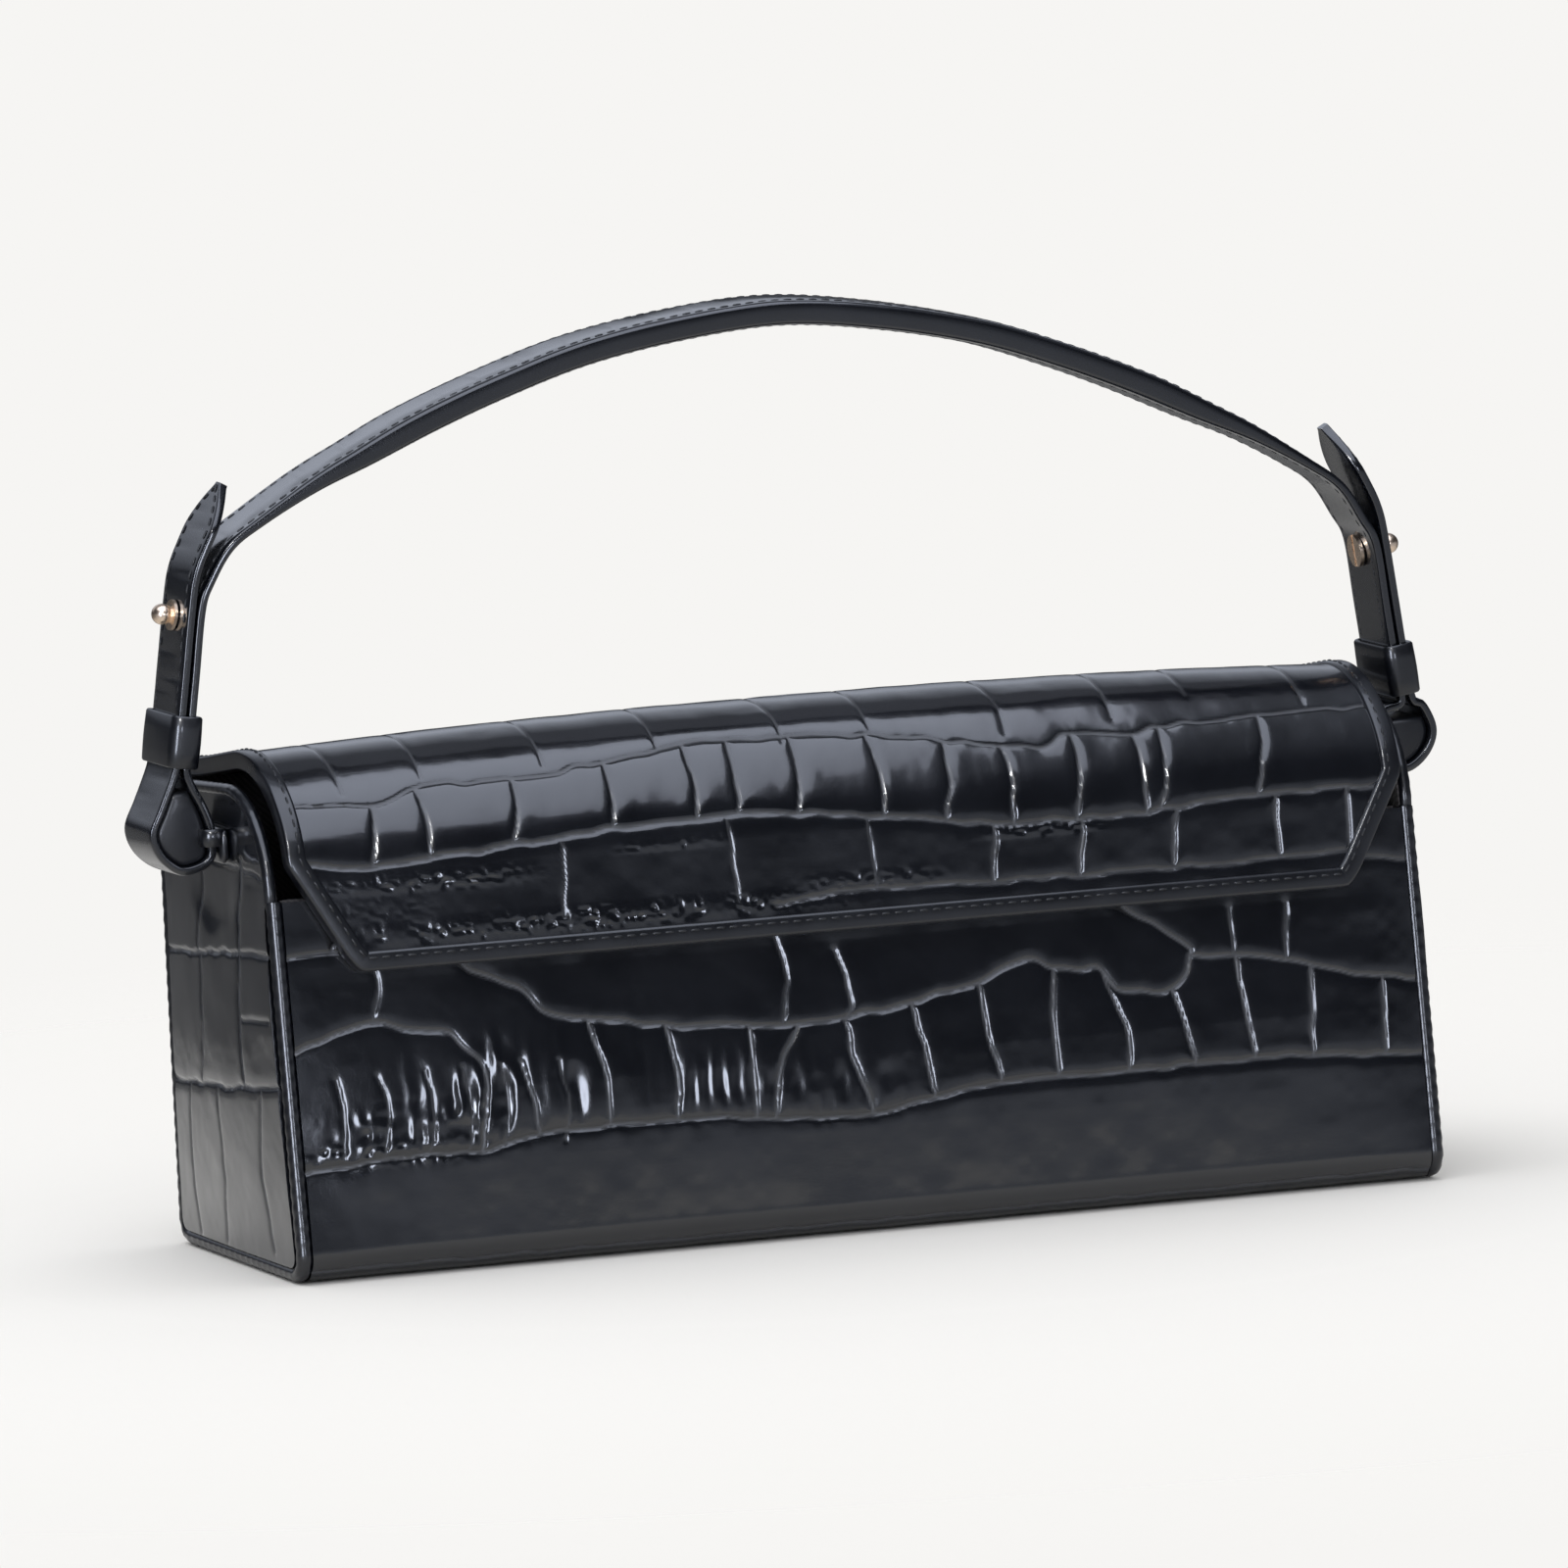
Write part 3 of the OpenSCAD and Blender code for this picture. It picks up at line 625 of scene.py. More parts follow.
BRANCH = [
    (60, 75), (66.8, 67.1), (73.7, 63), (81, 57.5), (82.1, 55.6), (92.3, 54.6), (104.4, 52.7),
    (116.3, 49.5), (128.3, 47.2), (142, 45.5),
]
ARCH = [
    (-142, 49), (-133.5, 52.8), (-126.3, 55), (-116.8, 56.4), (-108.8, 54.1), (-101.2, 53.5), (-97.4, 49.9),
    (-93.2, 45.1), (-92.8, 36.9), (-95, 26.2),
]
DIVIDERS = [
    [(-83.8, 45), (-81.7, 34.9), (-80.9, 28.6)], [(-66.9, 53.8), (-64.1, 40), (-63.6, 29)],
    [(-48.1, 50.4), (-47, 38.6), (-47.2, 29)], [(-28.1, 49), (-28.4, 28)],
    [(-16.3, 48.1), (-21.4, 38.6), (-23.5, 27.4)], [(-4.9, 48.5), (-3.5, 38.2), (0.2, 26.8)],
    [(11.8, 51), (13.5, 40), (15.5, 29)], [(28.3, 54), (29.3, 42), (31.8, 30.7)],
    [(46.9, 55.4), (45.7, 43), (45.7, 30.8)], [(59, 53), (63, 41.6), (63.3, 30.8)],
    [(75.3, 48.2), (77.6, 40.4), (79.7, 30.8)], [(92, 54.6), (93, 42.5), (94.3, 31.2)],
    [(110.6, 51), (109, 30.6)], [(128.2, 47.2), (127.8, 29.4)],
]


def front_scales(look):
    """The front's creases: those drawn above, their branches and fields, and fine wrinkles between."""
    lines = [(1.0, BAND_TOP), (1.0, WAVE), (1.0, ARCH), (1.0, BRANCH)] + [(0.85, line) for line in DIVIDERS]
    lines += [
        (0.55, [(106, 66), (105, 53)]), (0.5, [(92, 66), (91.8, 54.8)]),
        (0.6, [(-5.8, 64), (-2.8, 52), (-4.9, 48.5)]), (0.5, [(-20, 49), (-18, 58), (-21, 74)]),
        (0.45, [(-118, 56), (-116, 66), (-119, 74)]),
        (0.7, [(-142, 72), (-110, 74), (-70, 72.5), (-21, 74), (37, 75), (99, 76), (142, 73)]),
    ]
    for x in (-126, -100, -74, -46, -12, 14, 41, 68, 96, 120):
        lines.append((0.7, [(x, 73.6), (x + 1.5, 79), (x, 86)]))
    for x in (-128, -118, -107, -98, -89, -75):
        lines.append((0.4, [(x, 45), (x + 1.5, 36), (x, 27)]))
    lines.append((0.6, [(-142, 2.4), (0, 2.2), (142, 2.4)]))
    wrinkles = [
        (-109, 31, 22, 6, 2.6, 4, 0.5), (-83, 40.5, 25, 10, 4.2, 13, 1.0), (-40, 36, 24, 8, 3.6, 12, 0.42),
        (-118, 27.5, 20, 2.6, 2.0, 1.7, 0.4), (-10, 33, 22, 7, 3.4, 7, 0.34),
    ]
    return Scales(look, lines, 11, wrinkles)


# Materials


def new_group(name, inputs, outputs):
    group = bpy.data.node_groups.new(name, "ShaderNodeTree")
    for label, kind, value in inputs:
        socket = group.interface.new_socket(name=label, in_out="INPUT", socket_type=kind)
        if value is not None:
            socket.default_value = value
    for label, kind in outputs:
        group.interface.new_socket(name=label, in_out="OUTPUT", socket_type=kind)
    return group, group.nodes.new("NodeGroupInput"), group.nodes.new("NodeGroupOutput")


class Nodes:
    """Short ways to add nodes to a tree."""

    def __init__(self, tree):
        self.tree = tree

    def add(self, kind, settings=(), **sockets):
        node = self.tree.nodes.new("ShaderNode" + kind)
        for key, value in dict(settings).items():
            setattr(node, key, value)
        for key, value in sockets.items():
            self.put(node.inputs[key.replace("_", " ")], value)
        return node

    def put(self, socket, value):
        if hasattr(value, "is_output"):
            self.tree.links.new(value, socket)
        else:
            socket.default_value = value

    def numbered(self, kind, settings, values, output=0):
        """A node whose sockets are filled by number, and one of its outputs."""
        node = self.add(kind, settings)
        for k, value in values.items():
            self.put(node.inputs[k], value)
        return node.outputs[output]

    def math(self, operation, a, b):
        return self.numbered("Math", {"operation": operation}, {0: a, 1: b})

    def mix(self, fac, a, b):
        return self.numbered("Mix", {"data_type": "RGBA"}, {0: fac, 6: a, 7: b}, 2)

    def span(self, value, low, high, to_low=0.0, to_high=1.0):
        """A value's range from low to high, laid on another and held at its ends."""
        return self.numbered("MapRange", (), dict(enumerate((value, low, high, to_low, to_high))))

    def where(self):
        """A place on the piece itself, in metres."""
        return self.add("TexCoord").outputs["Object"]

    def noise(self, **sockets):
        return self.add("TexNoise", **sockets).outputs["Fac"]


def rgba(colour, gain=1.0):
    return (*[min(1.0, c * gain) for c in colour], 1.0)


def grain_group():
    """Pores and fine wrinkles of polished leather: a height, a mask and a colour change."""
    group, source, sink = new_group(
        "Leather grain", [("Scale", "NodeSocketFloat", 1.0)],
        [("Height", "NodeSocketFloat"), ("Pores", "NodeSocketFloat"), ("Clouds", "NodeSocketFloat")])
    n = Nodes(group)
    where = n.where()
    scale = source.outputs["Scale"]
    wrinkle = n.noise(Vector=where, Scale=n.math("MULTIPLY", scale, 900.0), Detail=5.0, Roughness=0.62)
    pores = n.add("TexVoronoi", {"feature": "F1"}, Vector=where, Scale=n.math("MULTIPLY", scale, 1500.0))
    clouds = n.noise(Vector=where, Scale=n.math("MULTIPLY", scale, 42.0), Detail=4.0, Roughness=0.6)
    dots = n.span(pores.outputs["Distance"], 0.05, 0.32)
    height = n.math("ADD", n.math("MULTIPLY", wrinkle, 0.7), n.math("MULTIPLY", dots, 0.3))
    n.put(sink.inputs["Height"], height)
    n.put(sink.inputs["Pores"], dots)
    n.put(sink.inputs["Clouds"], clouds)
    return group


def twill_group():
    """Diagonal weave of a lining cloth: a height and a thread mask."""
    group, source, sink = new_group(
        "Twill weave", [("Threads", "NodeSocketFloat", 2600.0)],
        [("Height", "NodeSocketFloat"), ("Thread", "NodeSocketFloat")])
    n = Nodes(group)
    where = n.where()
    x, y, z = n.add("SeparateXYZ", Vector=where).outputs
    rate = source.outputs["Threads"]
    across = n.math("ADD", x, n.math("MULTIPLY", y, 0.6))
    a = n.math("SINE", n.math("MULTIPLY", n.math("ADD", across, z), rate), 0.0)
    b = n.math("SINE", n.math("MULTIPLY", n.math("SUBTRACT", across, z), n.math("MULTIPLY", rate, 2.0)), 0.0)
    height = n.math("ADD", n.math("MULTIPLY", a, 0.6), n.math("MULTIPLY", b, 0.25))
    n.put(sink.inputs["Height"], height)
    n.put(sink.inputs["Thread"], n.span(height, -0.8, 0.8))
    return group


class Skin(Nodes):
    """A new material's nodes, with its own Principled shader."""

    def __init__(self, name):
        self.material = bpy.data.materials.new(name)
        self.material.use_nodes = True
        super().__init__(self.material.node_tree)
        self.shader = self.tree.nodes["Principled BSDF"]

    def group(self, tree, **values):
        node = self.tree.nodes.new("ShaderNodeGroup")
        node.node_tree = tree
        for key, value in values.items():
            node.inputs[key].default_value = value
        return node.outputs

    def set(self, **sockets):
        for key, value in sockets.items():
            self.put(self.shader.inputs[key.replace("_", " ")], value)

    def relief(self, height, strength, distance):
        """A fine bump, with its height in metres."""
        bump = self.add("Bump", Height=height, Strength=strength, Distance=distance)
        self.set(Normal=bump.outputs["Normal"])


def leather_material(name, look, grain, gloss, coat, height=0.00006, scale=1.0, gain=1.0):
    n = Skin(name)
    g = n.group(grain, Scale=scale)
    crease = n.add("Attribute", {"attribute_name": "crease"}).outputs["Fac"]
    plain = n.mix(n.span(g["Clouds"], 0.3, 0.7), rgba(look.leather, 0.8 * gain), rgba(look.leather, 1.3 * gain))
    rough = n.span(g["Clouds"], 0.25, 0.75, gloss * 0.8, gloss * 1.3)
    # Painted highlight: the creases are coloured lighter than the leather, in place of the light their walls
    # catch; they are also rougher and less coated
    n.set(Base_Color=n.mix(n.math("MULTIPLY", crease, 0.9), plain, rgba(look.crease)),
          Roughness=n.math("ADD", rough, n.math("MULTIPLY", crease, 0.35)),
          Coat_Weight=n.math("MULTIPLY", coat, n.span(crease, 0.0, 0.8, 1.0, 0.1)),
          Coat_Roughness=0.09, IOR=1.5)
    n.relief(g["Height"], 0.5, height)


def cloth_material(name, look, twill):
    n = Skin(name)
    g = n.group(twill, Threads=4200.0)
    clouds = n.noise(Vector=n.where(), Scale=30.0, Detail=4.0)
    threads = n.mix(g["Thread"], rgba(look.cloth, 0.55), rgba(look.cloth, 1.35))
    n.set(Base_Color=n.mix(n.math("MULTIPLY", clouds, 0.4), threads, rgba(look.cloth, 0.8)),
          Roughness=n.span(g["Thread"], 0.0, 1.0, 0.85, 0.6), Sheen_Weight=0.3)
    n.relief(g["Height"], 0.5, 0.00012)


def board_material(name):
    n = Skin(name)
    where = n.where()
    fibre = n.noise(Vector=where, Scale=700.0, Detail=6.0, Roughness=0.7)
    fleck = n.noise(Vector=where, Scale=90.0, Detail=3.0)
    fibres = n.mix(fibre, (0.20, 0.16, 0.11, 1), (0.34, 0.28, 0.20, 1))
    n.set(Base_Color=n.mix(n.math("MULTIPLY", fleck, 0.5), fibres, (0.24, 0.20, 0.15, 1)),
          Roughness=n.span(fibre, 0.3, 0.7, 0.75, 0.95))
    n.relief(fibre, 0.4, 0.0001)


def metal_material(name, colour, rough, stretch):
    """Metal whose fine marks are drawn out sideways by a stretch."""
    n = Skin(name)
    where = n.where()
    drawn = n.add("Mapping", Vector=where)
    drawn.inputs["Scale"].default_value = (1, 1, stretch)
    marks = n.noise(Vector=drawn.outputs["Vector"], Scale=520.0, Detail=5.0, Roughness=0.6)
    tone = n.noise(Vector=where, Scale=160.0, Detail=3.0)
    n.set(Base_Color=n.mix(tone, rgba(colour, 0.88), rgba(colour, 1.06)),
          Roughness=n.span(marks, 0.3, 0.7, rough * 0.8, rough * 1.35), Metallic=1.0)
    n.relief(marks, 0.15, 0.00003)


def thread_material(name, look):
    n = Skin(name)
    bands = {"wave_type": "BANDS", "bands_direction": "DIAGONAL"}
    twist = n.add("TexWave", bands, Vector=n.where(), Scale=1400.0, Distortion=1.0).outputs["Fac"]
    n.set(Base_Color=n.mix(twist, rgba(look.leather, 1.0), rgba(look.crease, 0.25)),
          Roughness=n.span(twist, 0.0, 1.0, 0.62, 0.42))
    n.relief(twist, 0.4, 0.00008)


# Each finish, with its material's name and its slot's name
FINISHES = {
    "scales": ("Embossed leather", "leather"),
    "smooth": ("Smooth leather", "leather"),
    "under": ("Rough leather", "leather"),
    "thread": ("Black thread", "leather"),
    "cloth": ("Twill lining", "lining_cloth"),
    "board": ("Stiffener board", "board"),
    "gilt": ("Pale gilt", "gilt"),
    "steel": ("Brushed steel", "steel"),
}


def material(finish):
    return bpy.data.materials[FINISHES[finish][0]]


class BAG_OT_finishes(bpy.types.Operator):
    """Makes the leathers, the lining cloth, the board, the metals and the thread that the pieces wear."""

    bl_idname = "bag.finishes"
    bl_label = "Finishes"

    def execute(self, context):
        look = Sizes(BagLook)
        grain, twill = grain_group(), twill_group()
        names = {finish: name for finish, (name, _) in FINISHES.items()}
        leather_material(names["scales"], look, grain, look.gloss, 1.0)
        leather_material(names["smooth"], look, grain, look.gloss * 1.5, 0.5, 0.00005, 1.4, 1.1)
        leather_material(names["under"], look, grain, look.gloss * 2.2, 0.1, 0.00008, 0.8, 1.6)
        cloth_material(names["cloth"], look, twill)
        board_material(names["board"])
        metal_material(names["gilt"], look.gilt, 0.27, 1)
        metal_material(names["steel"], (0.56, 0.56, 0.57), 0.3, 14)
        thread_material(names["thread"], look)
        return {"FINISHED"}


def dress(finish, *nodes):
    """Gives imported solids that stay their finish."""
    for node in nodes:
        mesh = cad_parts[node].data
        mesh.materials.clear()
        mesh.materials.append(material(finish))


# Pieces


def sizes():
    case = CaseLines(Sizes(BagCaseSizes))
    return case, FlapLines(Sizes(BagFlapSizes), case), HandleLines(Sizes(BagHandleSizes), case)


def bulge(x, z, half_l, height, much):
    """The swell of a panel: none at its ends, its foot and its top edge."""
    return much * np.clip(1 - (x / half_l) ** 4, 0, 1) * np.sin(np.pi * np.clip(z / height, 0, 1)) ** 0.7


def belly(x, z, half_l):
    """How far the front stands out: fullest over its lower band, flat again under the flap."""
    heights = [0, 4, 8, 12, 16, 20, 24, 28, 33, 40, 48, 56, 66, 85]
    swell = [0, 0.06, 0.3, 0.62, 0.96, 1.3, 1.6, 1.82, 1.92, 1.82, 1.42, 0.88, 0.3, 0.1]
    up = np.interp(z, heights, swell)
    return up * np.clip(1 - (x / half_l) ** 6, 0, 1)


def case_sheet(name, node, line, half, steps, relief, swell, thick, inward=1):
    """A panel of the case: its cross-section line carried along the length, embossed and swollen."""
    pts, run = spaced(line, steps[1])
    out = left_of(pts) * inward
    x = spaced([[-half], [half]], steps[0])[0][:, 0]
    gx, gz = np.meshgrid(x, pts[:, 1], indexing="ij")
    h, crease = relief(gx, gz, np.repeat(run[None], len(x), 0))
    face = beside(gx, pts, out, h + swell(gx, gz))
    hidden = 0.3  # how far the sheet's back stays short of the solid's
    points, faces = two_skins(face, beside(gx, pts, out, hidden - thick))
    return make_piece(name, points, faces, "case", "scales", [node], outer_mask(crease, points))


def gusset_top(case, flap):
    """The gusset's mouth: from the front's top edge over an arc to the back's."""
    c, r = (flap.c[0] - 1, flap.c[1] - 3), 24
    back = array(case.back_at(case.s.back_h - 0.8, case.s.piping_d))
    arm = back - array(c)
    a0 = math.degrees(math.atan2(arm[1], arm[0]) + math.acos(r / np.linalg.norm(arm)))
    step_z = case.s.front_h - 0.6
    a1 = 180 - math.degrees(math.asin((step_z - c[1]) / r))
    return np.vstack([[case.front_at(step_z, case.s.piping_d)], arc(c, r, a1, a0, 20), [back]])


def gusset_grid(case, flap, step):
    """Points [y, z] over a gusset, row by row from its foot to its mouth."""
    r = case.s.corner_r - case.s.piping_d
    foot = np.vstack([arc(case.front_corner, r, 180 - math.degrees(case.lean), 270, 5),
                      arc(case.back_corner, r, -90, -math.degrees(case.out), 5)])
    n = int(case.s.case_d / step)
    low, high = (sampled(np.linspace(0, 1, n), np.linspace(0, 1, len(line)), line)
                 for line in (spaced(foot, 1)[0], spaced(gusset_top(case, flap), 1)[0]))
    t = np.linspace(0, 1, int(case.s.back_h / step))[:, None, None]
    return low[None] * (1 - t) + high[None] * t


# The gussets' own creases, as [y, z]
GUSSET_LINES = [
    (1.0, [(-38, 73.5), (-24, 73), (0, 71), (20, 69), (44, 66.5)]),
    (1.0, [(-40, 45), (-20, 42.5), (5, 40), (44, 37.5)]),
    (0.9, [(-10, 93), (-9.5, 80), (-10.5, 70), (-10, 60), (-11, 48), (-12, 42)]),
    (0.7, [(17, 98), (16, 84), (18, 70)]), (0.6, [(16, 69), (15, 54), (17, 39)]),
    (0.6, [(-22, 42), (-20, 25), (-24, 6)]), (0.5, [(6, 40), (4, 22), (7, 4)]),
    (0.5, [(26, 38), (28, 20), (25, 4)]), (0.7, [(-30, 90), (0, 91), (46, 89)]),
    (0.5, [(-28, 58), (-11, 57)]),
]


class BAG_OT_case(bpy.types.Operator):
    """Builds the three panels as swollen sheets that wrap the bottom edges."""

    bl_idname = "bag.case"
    bl_label = "Case panels"

    def execute(self, context):
        case, _, _ = sizes()
        look, s = Sizes(BagLook), case.s
        half = case.half_l - s.piping_d
        scales = front_scales(look)
        case_sheet("front_skin", "front_panel", case.front_line(s.front_h, 0)[::-1], half, (0.5, 0.48),
                   lambda x, z, run: scales.relief(x, z),
                   lambda x, z: belly(x, z, half), s.leather_t)
        rear = Scales(look, scale_field(-142, 142, 4, 108, 24, 22, 5, 0.8), 21)
        case_sheet("back_skin", "back_panel", case.back_line(s.back_h, 0)[::-1], half, (0.6, 0.6),
                   lambda x, z, run: rear.relief(x, z),
                   lambda x, z: bulge(x, z, half, s.back_h, s.swell), s.leather_t)
        under = Scales(look, scale_field(-142, 142, -2, 74, 25, 28, 9, 0.6), 31)
        line = array([(case.front_corner[0], 0), (case.back_corner[0], 0)])
        case_sheet("base_skin", "base_panel", line, half, (1.4, 1.4),
                   lambda x, z, run: under.relief(x, run),
                   lambda x, z: 0.05, s.leather_t, inward=-1)
        return {"FINISHED"}


class BAG_OT_gussets(bpy.types.Operator):
    """Builds each gusset from a grid between its foot and its rounded mouth, and sweeps its piping."""

    bl_idname = "bag.gussets"
    bl_label = "Gussets and piping"

    def execute(self, context):
        case, flap, handle = sizes()
        look, s = Sizes(BagLook), case.s
        grid = gusset_grid(case, flap, 0.55)
        y, z = grid[..., 0], grid[..., 1]
        plate_reach = 13  # flat as far as the anchor's plate reaches when it turns with the handle
        free = ease((np.hypot(y - handle.y, z - handle.anchor_z) - plate_reach) / 9)
        swell = 2.1 * np.sin(np.pi * np.clip(z / 88, 0, 1)) ** 0.7 * np.clip(1 - (y / 42) ** 2, 0, 1) * free
        for side, word in SIDES:
            h, crease = Scales(look, GUSSET_LINES, 41 + side).relief(y, z)
            h = np.minimum(h + swell, 0.10 + 3 * free)
            face = np.stack([side * (case.half_l + h - 0.05), y, z], -1)
            back = np.stack([np.full_like(h, side * (case.half_l - s.leather_t)), y, z], -1)
            points, faces = two_skins(face, back)
            make_piece(word + "_gusset_skin", points, faces, "case", "scales", [word + "_gusset"],
                       outer_mask(crease, points))
            r = s.piping_d / 2
            self.tube(side, word + "_mouth_binding", spaced(gusset_top(case, flap), 1.0)[0],
                      case.half_l - 1.1, 1.45, 0.05, 1.9)
            line = np.vstack([case.front_line(s.front_h, r), case.back_line(s.back_h, r)])
            self.tube(side, word + "_piping_round", spaced(line, 1.2)[0],
                      case.half_l - r, r + 0.22, 0.10, 2.1, [word + "_piping"])
        return {"FINISHED"}

    def tube(self, side, name, line, x, r, wave, rate, nodes=()):
        """A round edge along a line on one end of the case, a little uneven."""
        path = upright(line) + (side * x, 0, 0)
        across = np.tile([float(side), 0, 0], (len(line), 1))
        size = r + wave * np.sin(np.arange(len(line)) * rate)
        section = arc((0, 0), 1, 0, 330, 11)[None] * size[:, None, None]
        points, faces = swept(path, across, upright(-left_of(line)), section)
        make_piece(name, points, faces, "case", "smooth", nodes, slot="edge_leather")


def flap_scales(look):
    """Creases over the flap, as [x, z] on its front; behind the ridge z goes on upwards."""
    row_a = [
        (-142, 107), (-122, 105.9), (-112, 105.2), (-100, 107.9), (-83, 107.7), (-67, 108.1), (-55, 109.2),
        (-36, 110.9), (-24, 111.1), (-9, 110.5), (5, 110), (20, 108.5), (41.7, 105.4), (51.3, 105.2),
        (58, 107.2), (72, 105.8), (80, 107.4), (93, 107.9), (108, 108.4), (123, 108.9), (142, 110),
    ]
    row_b = [
        (-142, 93.4), (-134, 93.6), (-123, 92), (-113.5, 92), (-97, 92.9), (-81.5, 93.9), (-66, 95.4),
        (-47, 96.1), (-23, 96.6), (-11, 95.7), (0, 94.3), (16, 92.3), (31, 90), (48, 89.2), (65, 89),
        (82, 89.9), (100, 91.3), (119, 91), (142, 91.2),
    ]
    lines = [(0.8, row_a), (1.0, row_b)]
    a, b = array(row_a), array(row_b)
    for top, foot in (
            (-132.7, -133.6), (-113.8, -115.8), (-101.9, -102), (-79.1, -81.5), (-56.4, -57.4), (-36.3, -36.9),
            (-25.7, -27.1), (-10.4, -12.2), (7.8, 8.2), (26.2, 23.2), (39.5, 39.8), (57.5, 55.4), (72.1, 72.4),
            (79.2, 76.1), (103.9, 100.3)):
        zt, zb = np.interp(top, a[:, 0], a[:, 1]), np.interp(foot, b[:, 0], b[:, 1])
        lines.append((0.85, [(top, zt), ((top + foot) / 2 + 0.7, (zt + zb) / 2), (foot, zb)]))
    for top, foot in (
            (-70, -71), (-30, -29), (4, 5), (34.9, 33.7), (56.5, 55.1), (79.8, 77.9), (104.6, 104.4),
            (122.5, 121.5)):
        z = float(np.interp(top, b[:, 0], b[:, 1]))
        lines.append((0.35 if top < 10 else 0.75, [(top, z), (foot, 77)]))
    lines.append((0.75, [(-20, 75), (-3, 77.2), (44, 76.4), (81, 76.2), (118, 76.6), (132, 78)]))
    lines += scale_field(-140, 140, 111, 178, 20, 26, 15, 0.6)
    wrinkles = [
        (-103, 87.6, 23, 1.9, 1.6, 1.3, 0.5), (-66, 76.4, 58, 2.3, 1.6, 1.4, 0.5),
        (-44, 91.5, 12, 1.4, 1.7, 1.4, 0.36), (46, 87.6, 14, 1.3, 1.6, 1.3, 0.42),
        (4, 79.5, 16, 1.8, 2.0, 1.6, 0.34), (-115, 82, 12, 3, 1.6, 1.3, 0.12), (0, 116, 150, 4, 16, 2.0, 0.12),
    ]
    return Scales(look, lines, 17, wrinkles)


class BAG_OT_flap(bpy.types.Operator):
    """Builds the flap from its cross-section, cut to its outline, with the leather that hinges it."""

    bl_idname = "bag.flap"
    bl_label = "Flap"

    def execute(self, context):
        _, flap, _ = sizes()
        look, s = Sizes(BagLook), flap.s
        pts, run = spaced(flap.whole(s.flap_t / 2), 0.48)
        out = -left_of(pts)
        ridge = int(np.argmax(pts[:, 1]))
        front = np.arange(len(pts)) > ridge
        level = np.where(front, pts[:, 1], pts[ridge, 1] + (run[ridge] - run))
        width = flap.half_width(pts[:, 1], front) - 0.35
        gx = np.linspace(-1, 1, 545)[:, None] * width[None]
        h, crease = flap_scales(look).relief(gx, np.repeat(level[None], len(gx), 0))
        lift = flap.rise(gx, np.repeat(pts[None], len(gx), 0))
        points, faces = two_skins(beside(gx, pts, out, h, lift), beside(gx, pts, out, -1.25, lift))
        skin = make_piece("flap_skin", points, faces, None, "scales", ["flap_leather", "flap_back_strip"],
                          outer_mask(crease, points))
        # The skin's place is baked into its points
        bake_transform(skin)

        # The binding's path: down one side, along the lower edge and up the other
        rows, normals, edge = self.outline(flap, pts, out, width, ridge)
        inward = -edge
        section = rounded_box(s.binding_w, s.flap_t + 1.5, 0.75, 3)
        path = rows + inward * (s.binding_w / 2 - 0.35)
        points, faces = swept(path - normals * (s.flap_t / 2 - 0.05), edge, normals, section)
        make_piece("flap_edge_binding", points, faces, "flap", "smooth", ["flap_binding"], slot="edge_leather")
        seam = rows + inward * 2.6 + normals * 0.72
        points, faces = stitches(seam, normals, look.stitch)
        make_piece("flap_stitches", points, faces, "flap", "thread")

        inner, _ = spaced(flap.over(-s.flap_t / 2 + 0.1), 1.2)
        side = -left_of(inner)
        keep = np.linalg.norm(inner - flap.hinge, axis=1) > s.flap_t / 2 + 0.4
        inner, side = inner[keep], side[keep]
        front = np.arange(len(inner)) > int(np.argmax(inner[:, 1]))
        w = flap.half_width(inner[:, 1], front) - 1.2
        gx = np.linspace(-1, 1, 181)[:, None] * w[None]
        flat = np.repeat(inner[None], len(gx), 0)
        lift = flap.rise(gx, flat)
        wave = 0.12 * (hills(gx, flat[..., 1], 14, 77) - 0.5)
        points, faces = two_skins(beside(gx, inner, side, 0.8, lift), beside(gx, inner, side, wave, lift))
        piece = make_piece("flap_inner_cloth", points, faces, "flap", "cloth", ["flap_lining"])
        along = distances(inner)
        return {"FINISHED"}

    def outline(self, flap, pts, out, width, ridge):
        """The flap's edge from the hinge down one side and up the other, evenly spaced, with its
        normals and the directions that point off the flap."""
        from_hinge = np.abs(pts[:, 0] - (flap.hinge[0] - 3))
        start = int(np.argmin(from_hinge + 1e3 * (np.arange(len(pts)) > ridge)))
        down = np.unique(np.append(np.arange(start, len(pts), 3), len(pts) - 1))

        def at(x, i):
            return np.stack([x, pts[i, 0], pts[i, 1] + flap.rise(x, pts[i])], -1)

        low = np.linspace(-width[-1], width[-1], 160)[1:-1]
        foot = np.full(len(low), len(pts) - 1)
        path = np.vstack([at(-width[down], down), at(low, foot), at(width[down][::-1], down[::-1])])
        normal = upright(np.concatenate([out[down], out[foot], out[down][::-1]]))
        run = distances(path)
        even = np.linspace(0, run[-1], int(run[-1] / 1.3))
        path, normal = sampled(even, run, path), unit(sampled(even, run, normal))
        edge = unit(np.cross(tangents(path), normal))
        return path, normal, -edge if edge[0, 0] > 0 else edge


def strap_section(w, t, power, n=36):
    """Rings of a strap's section: a soft rectangle, w across and t thick."""
    a = np.arange(n) * 2 * math.pi / n + 0.01
    c, s = np.cos(a), np.sin(a)
    x = np.sign(c) * np.abs(c) ** (2 / power)
    y = np.sign(s) * np.abs(s) ** (2 / power)
    return np.stack([w[:, None] / 2 * x, t[:, None] / 2 * y], -1)


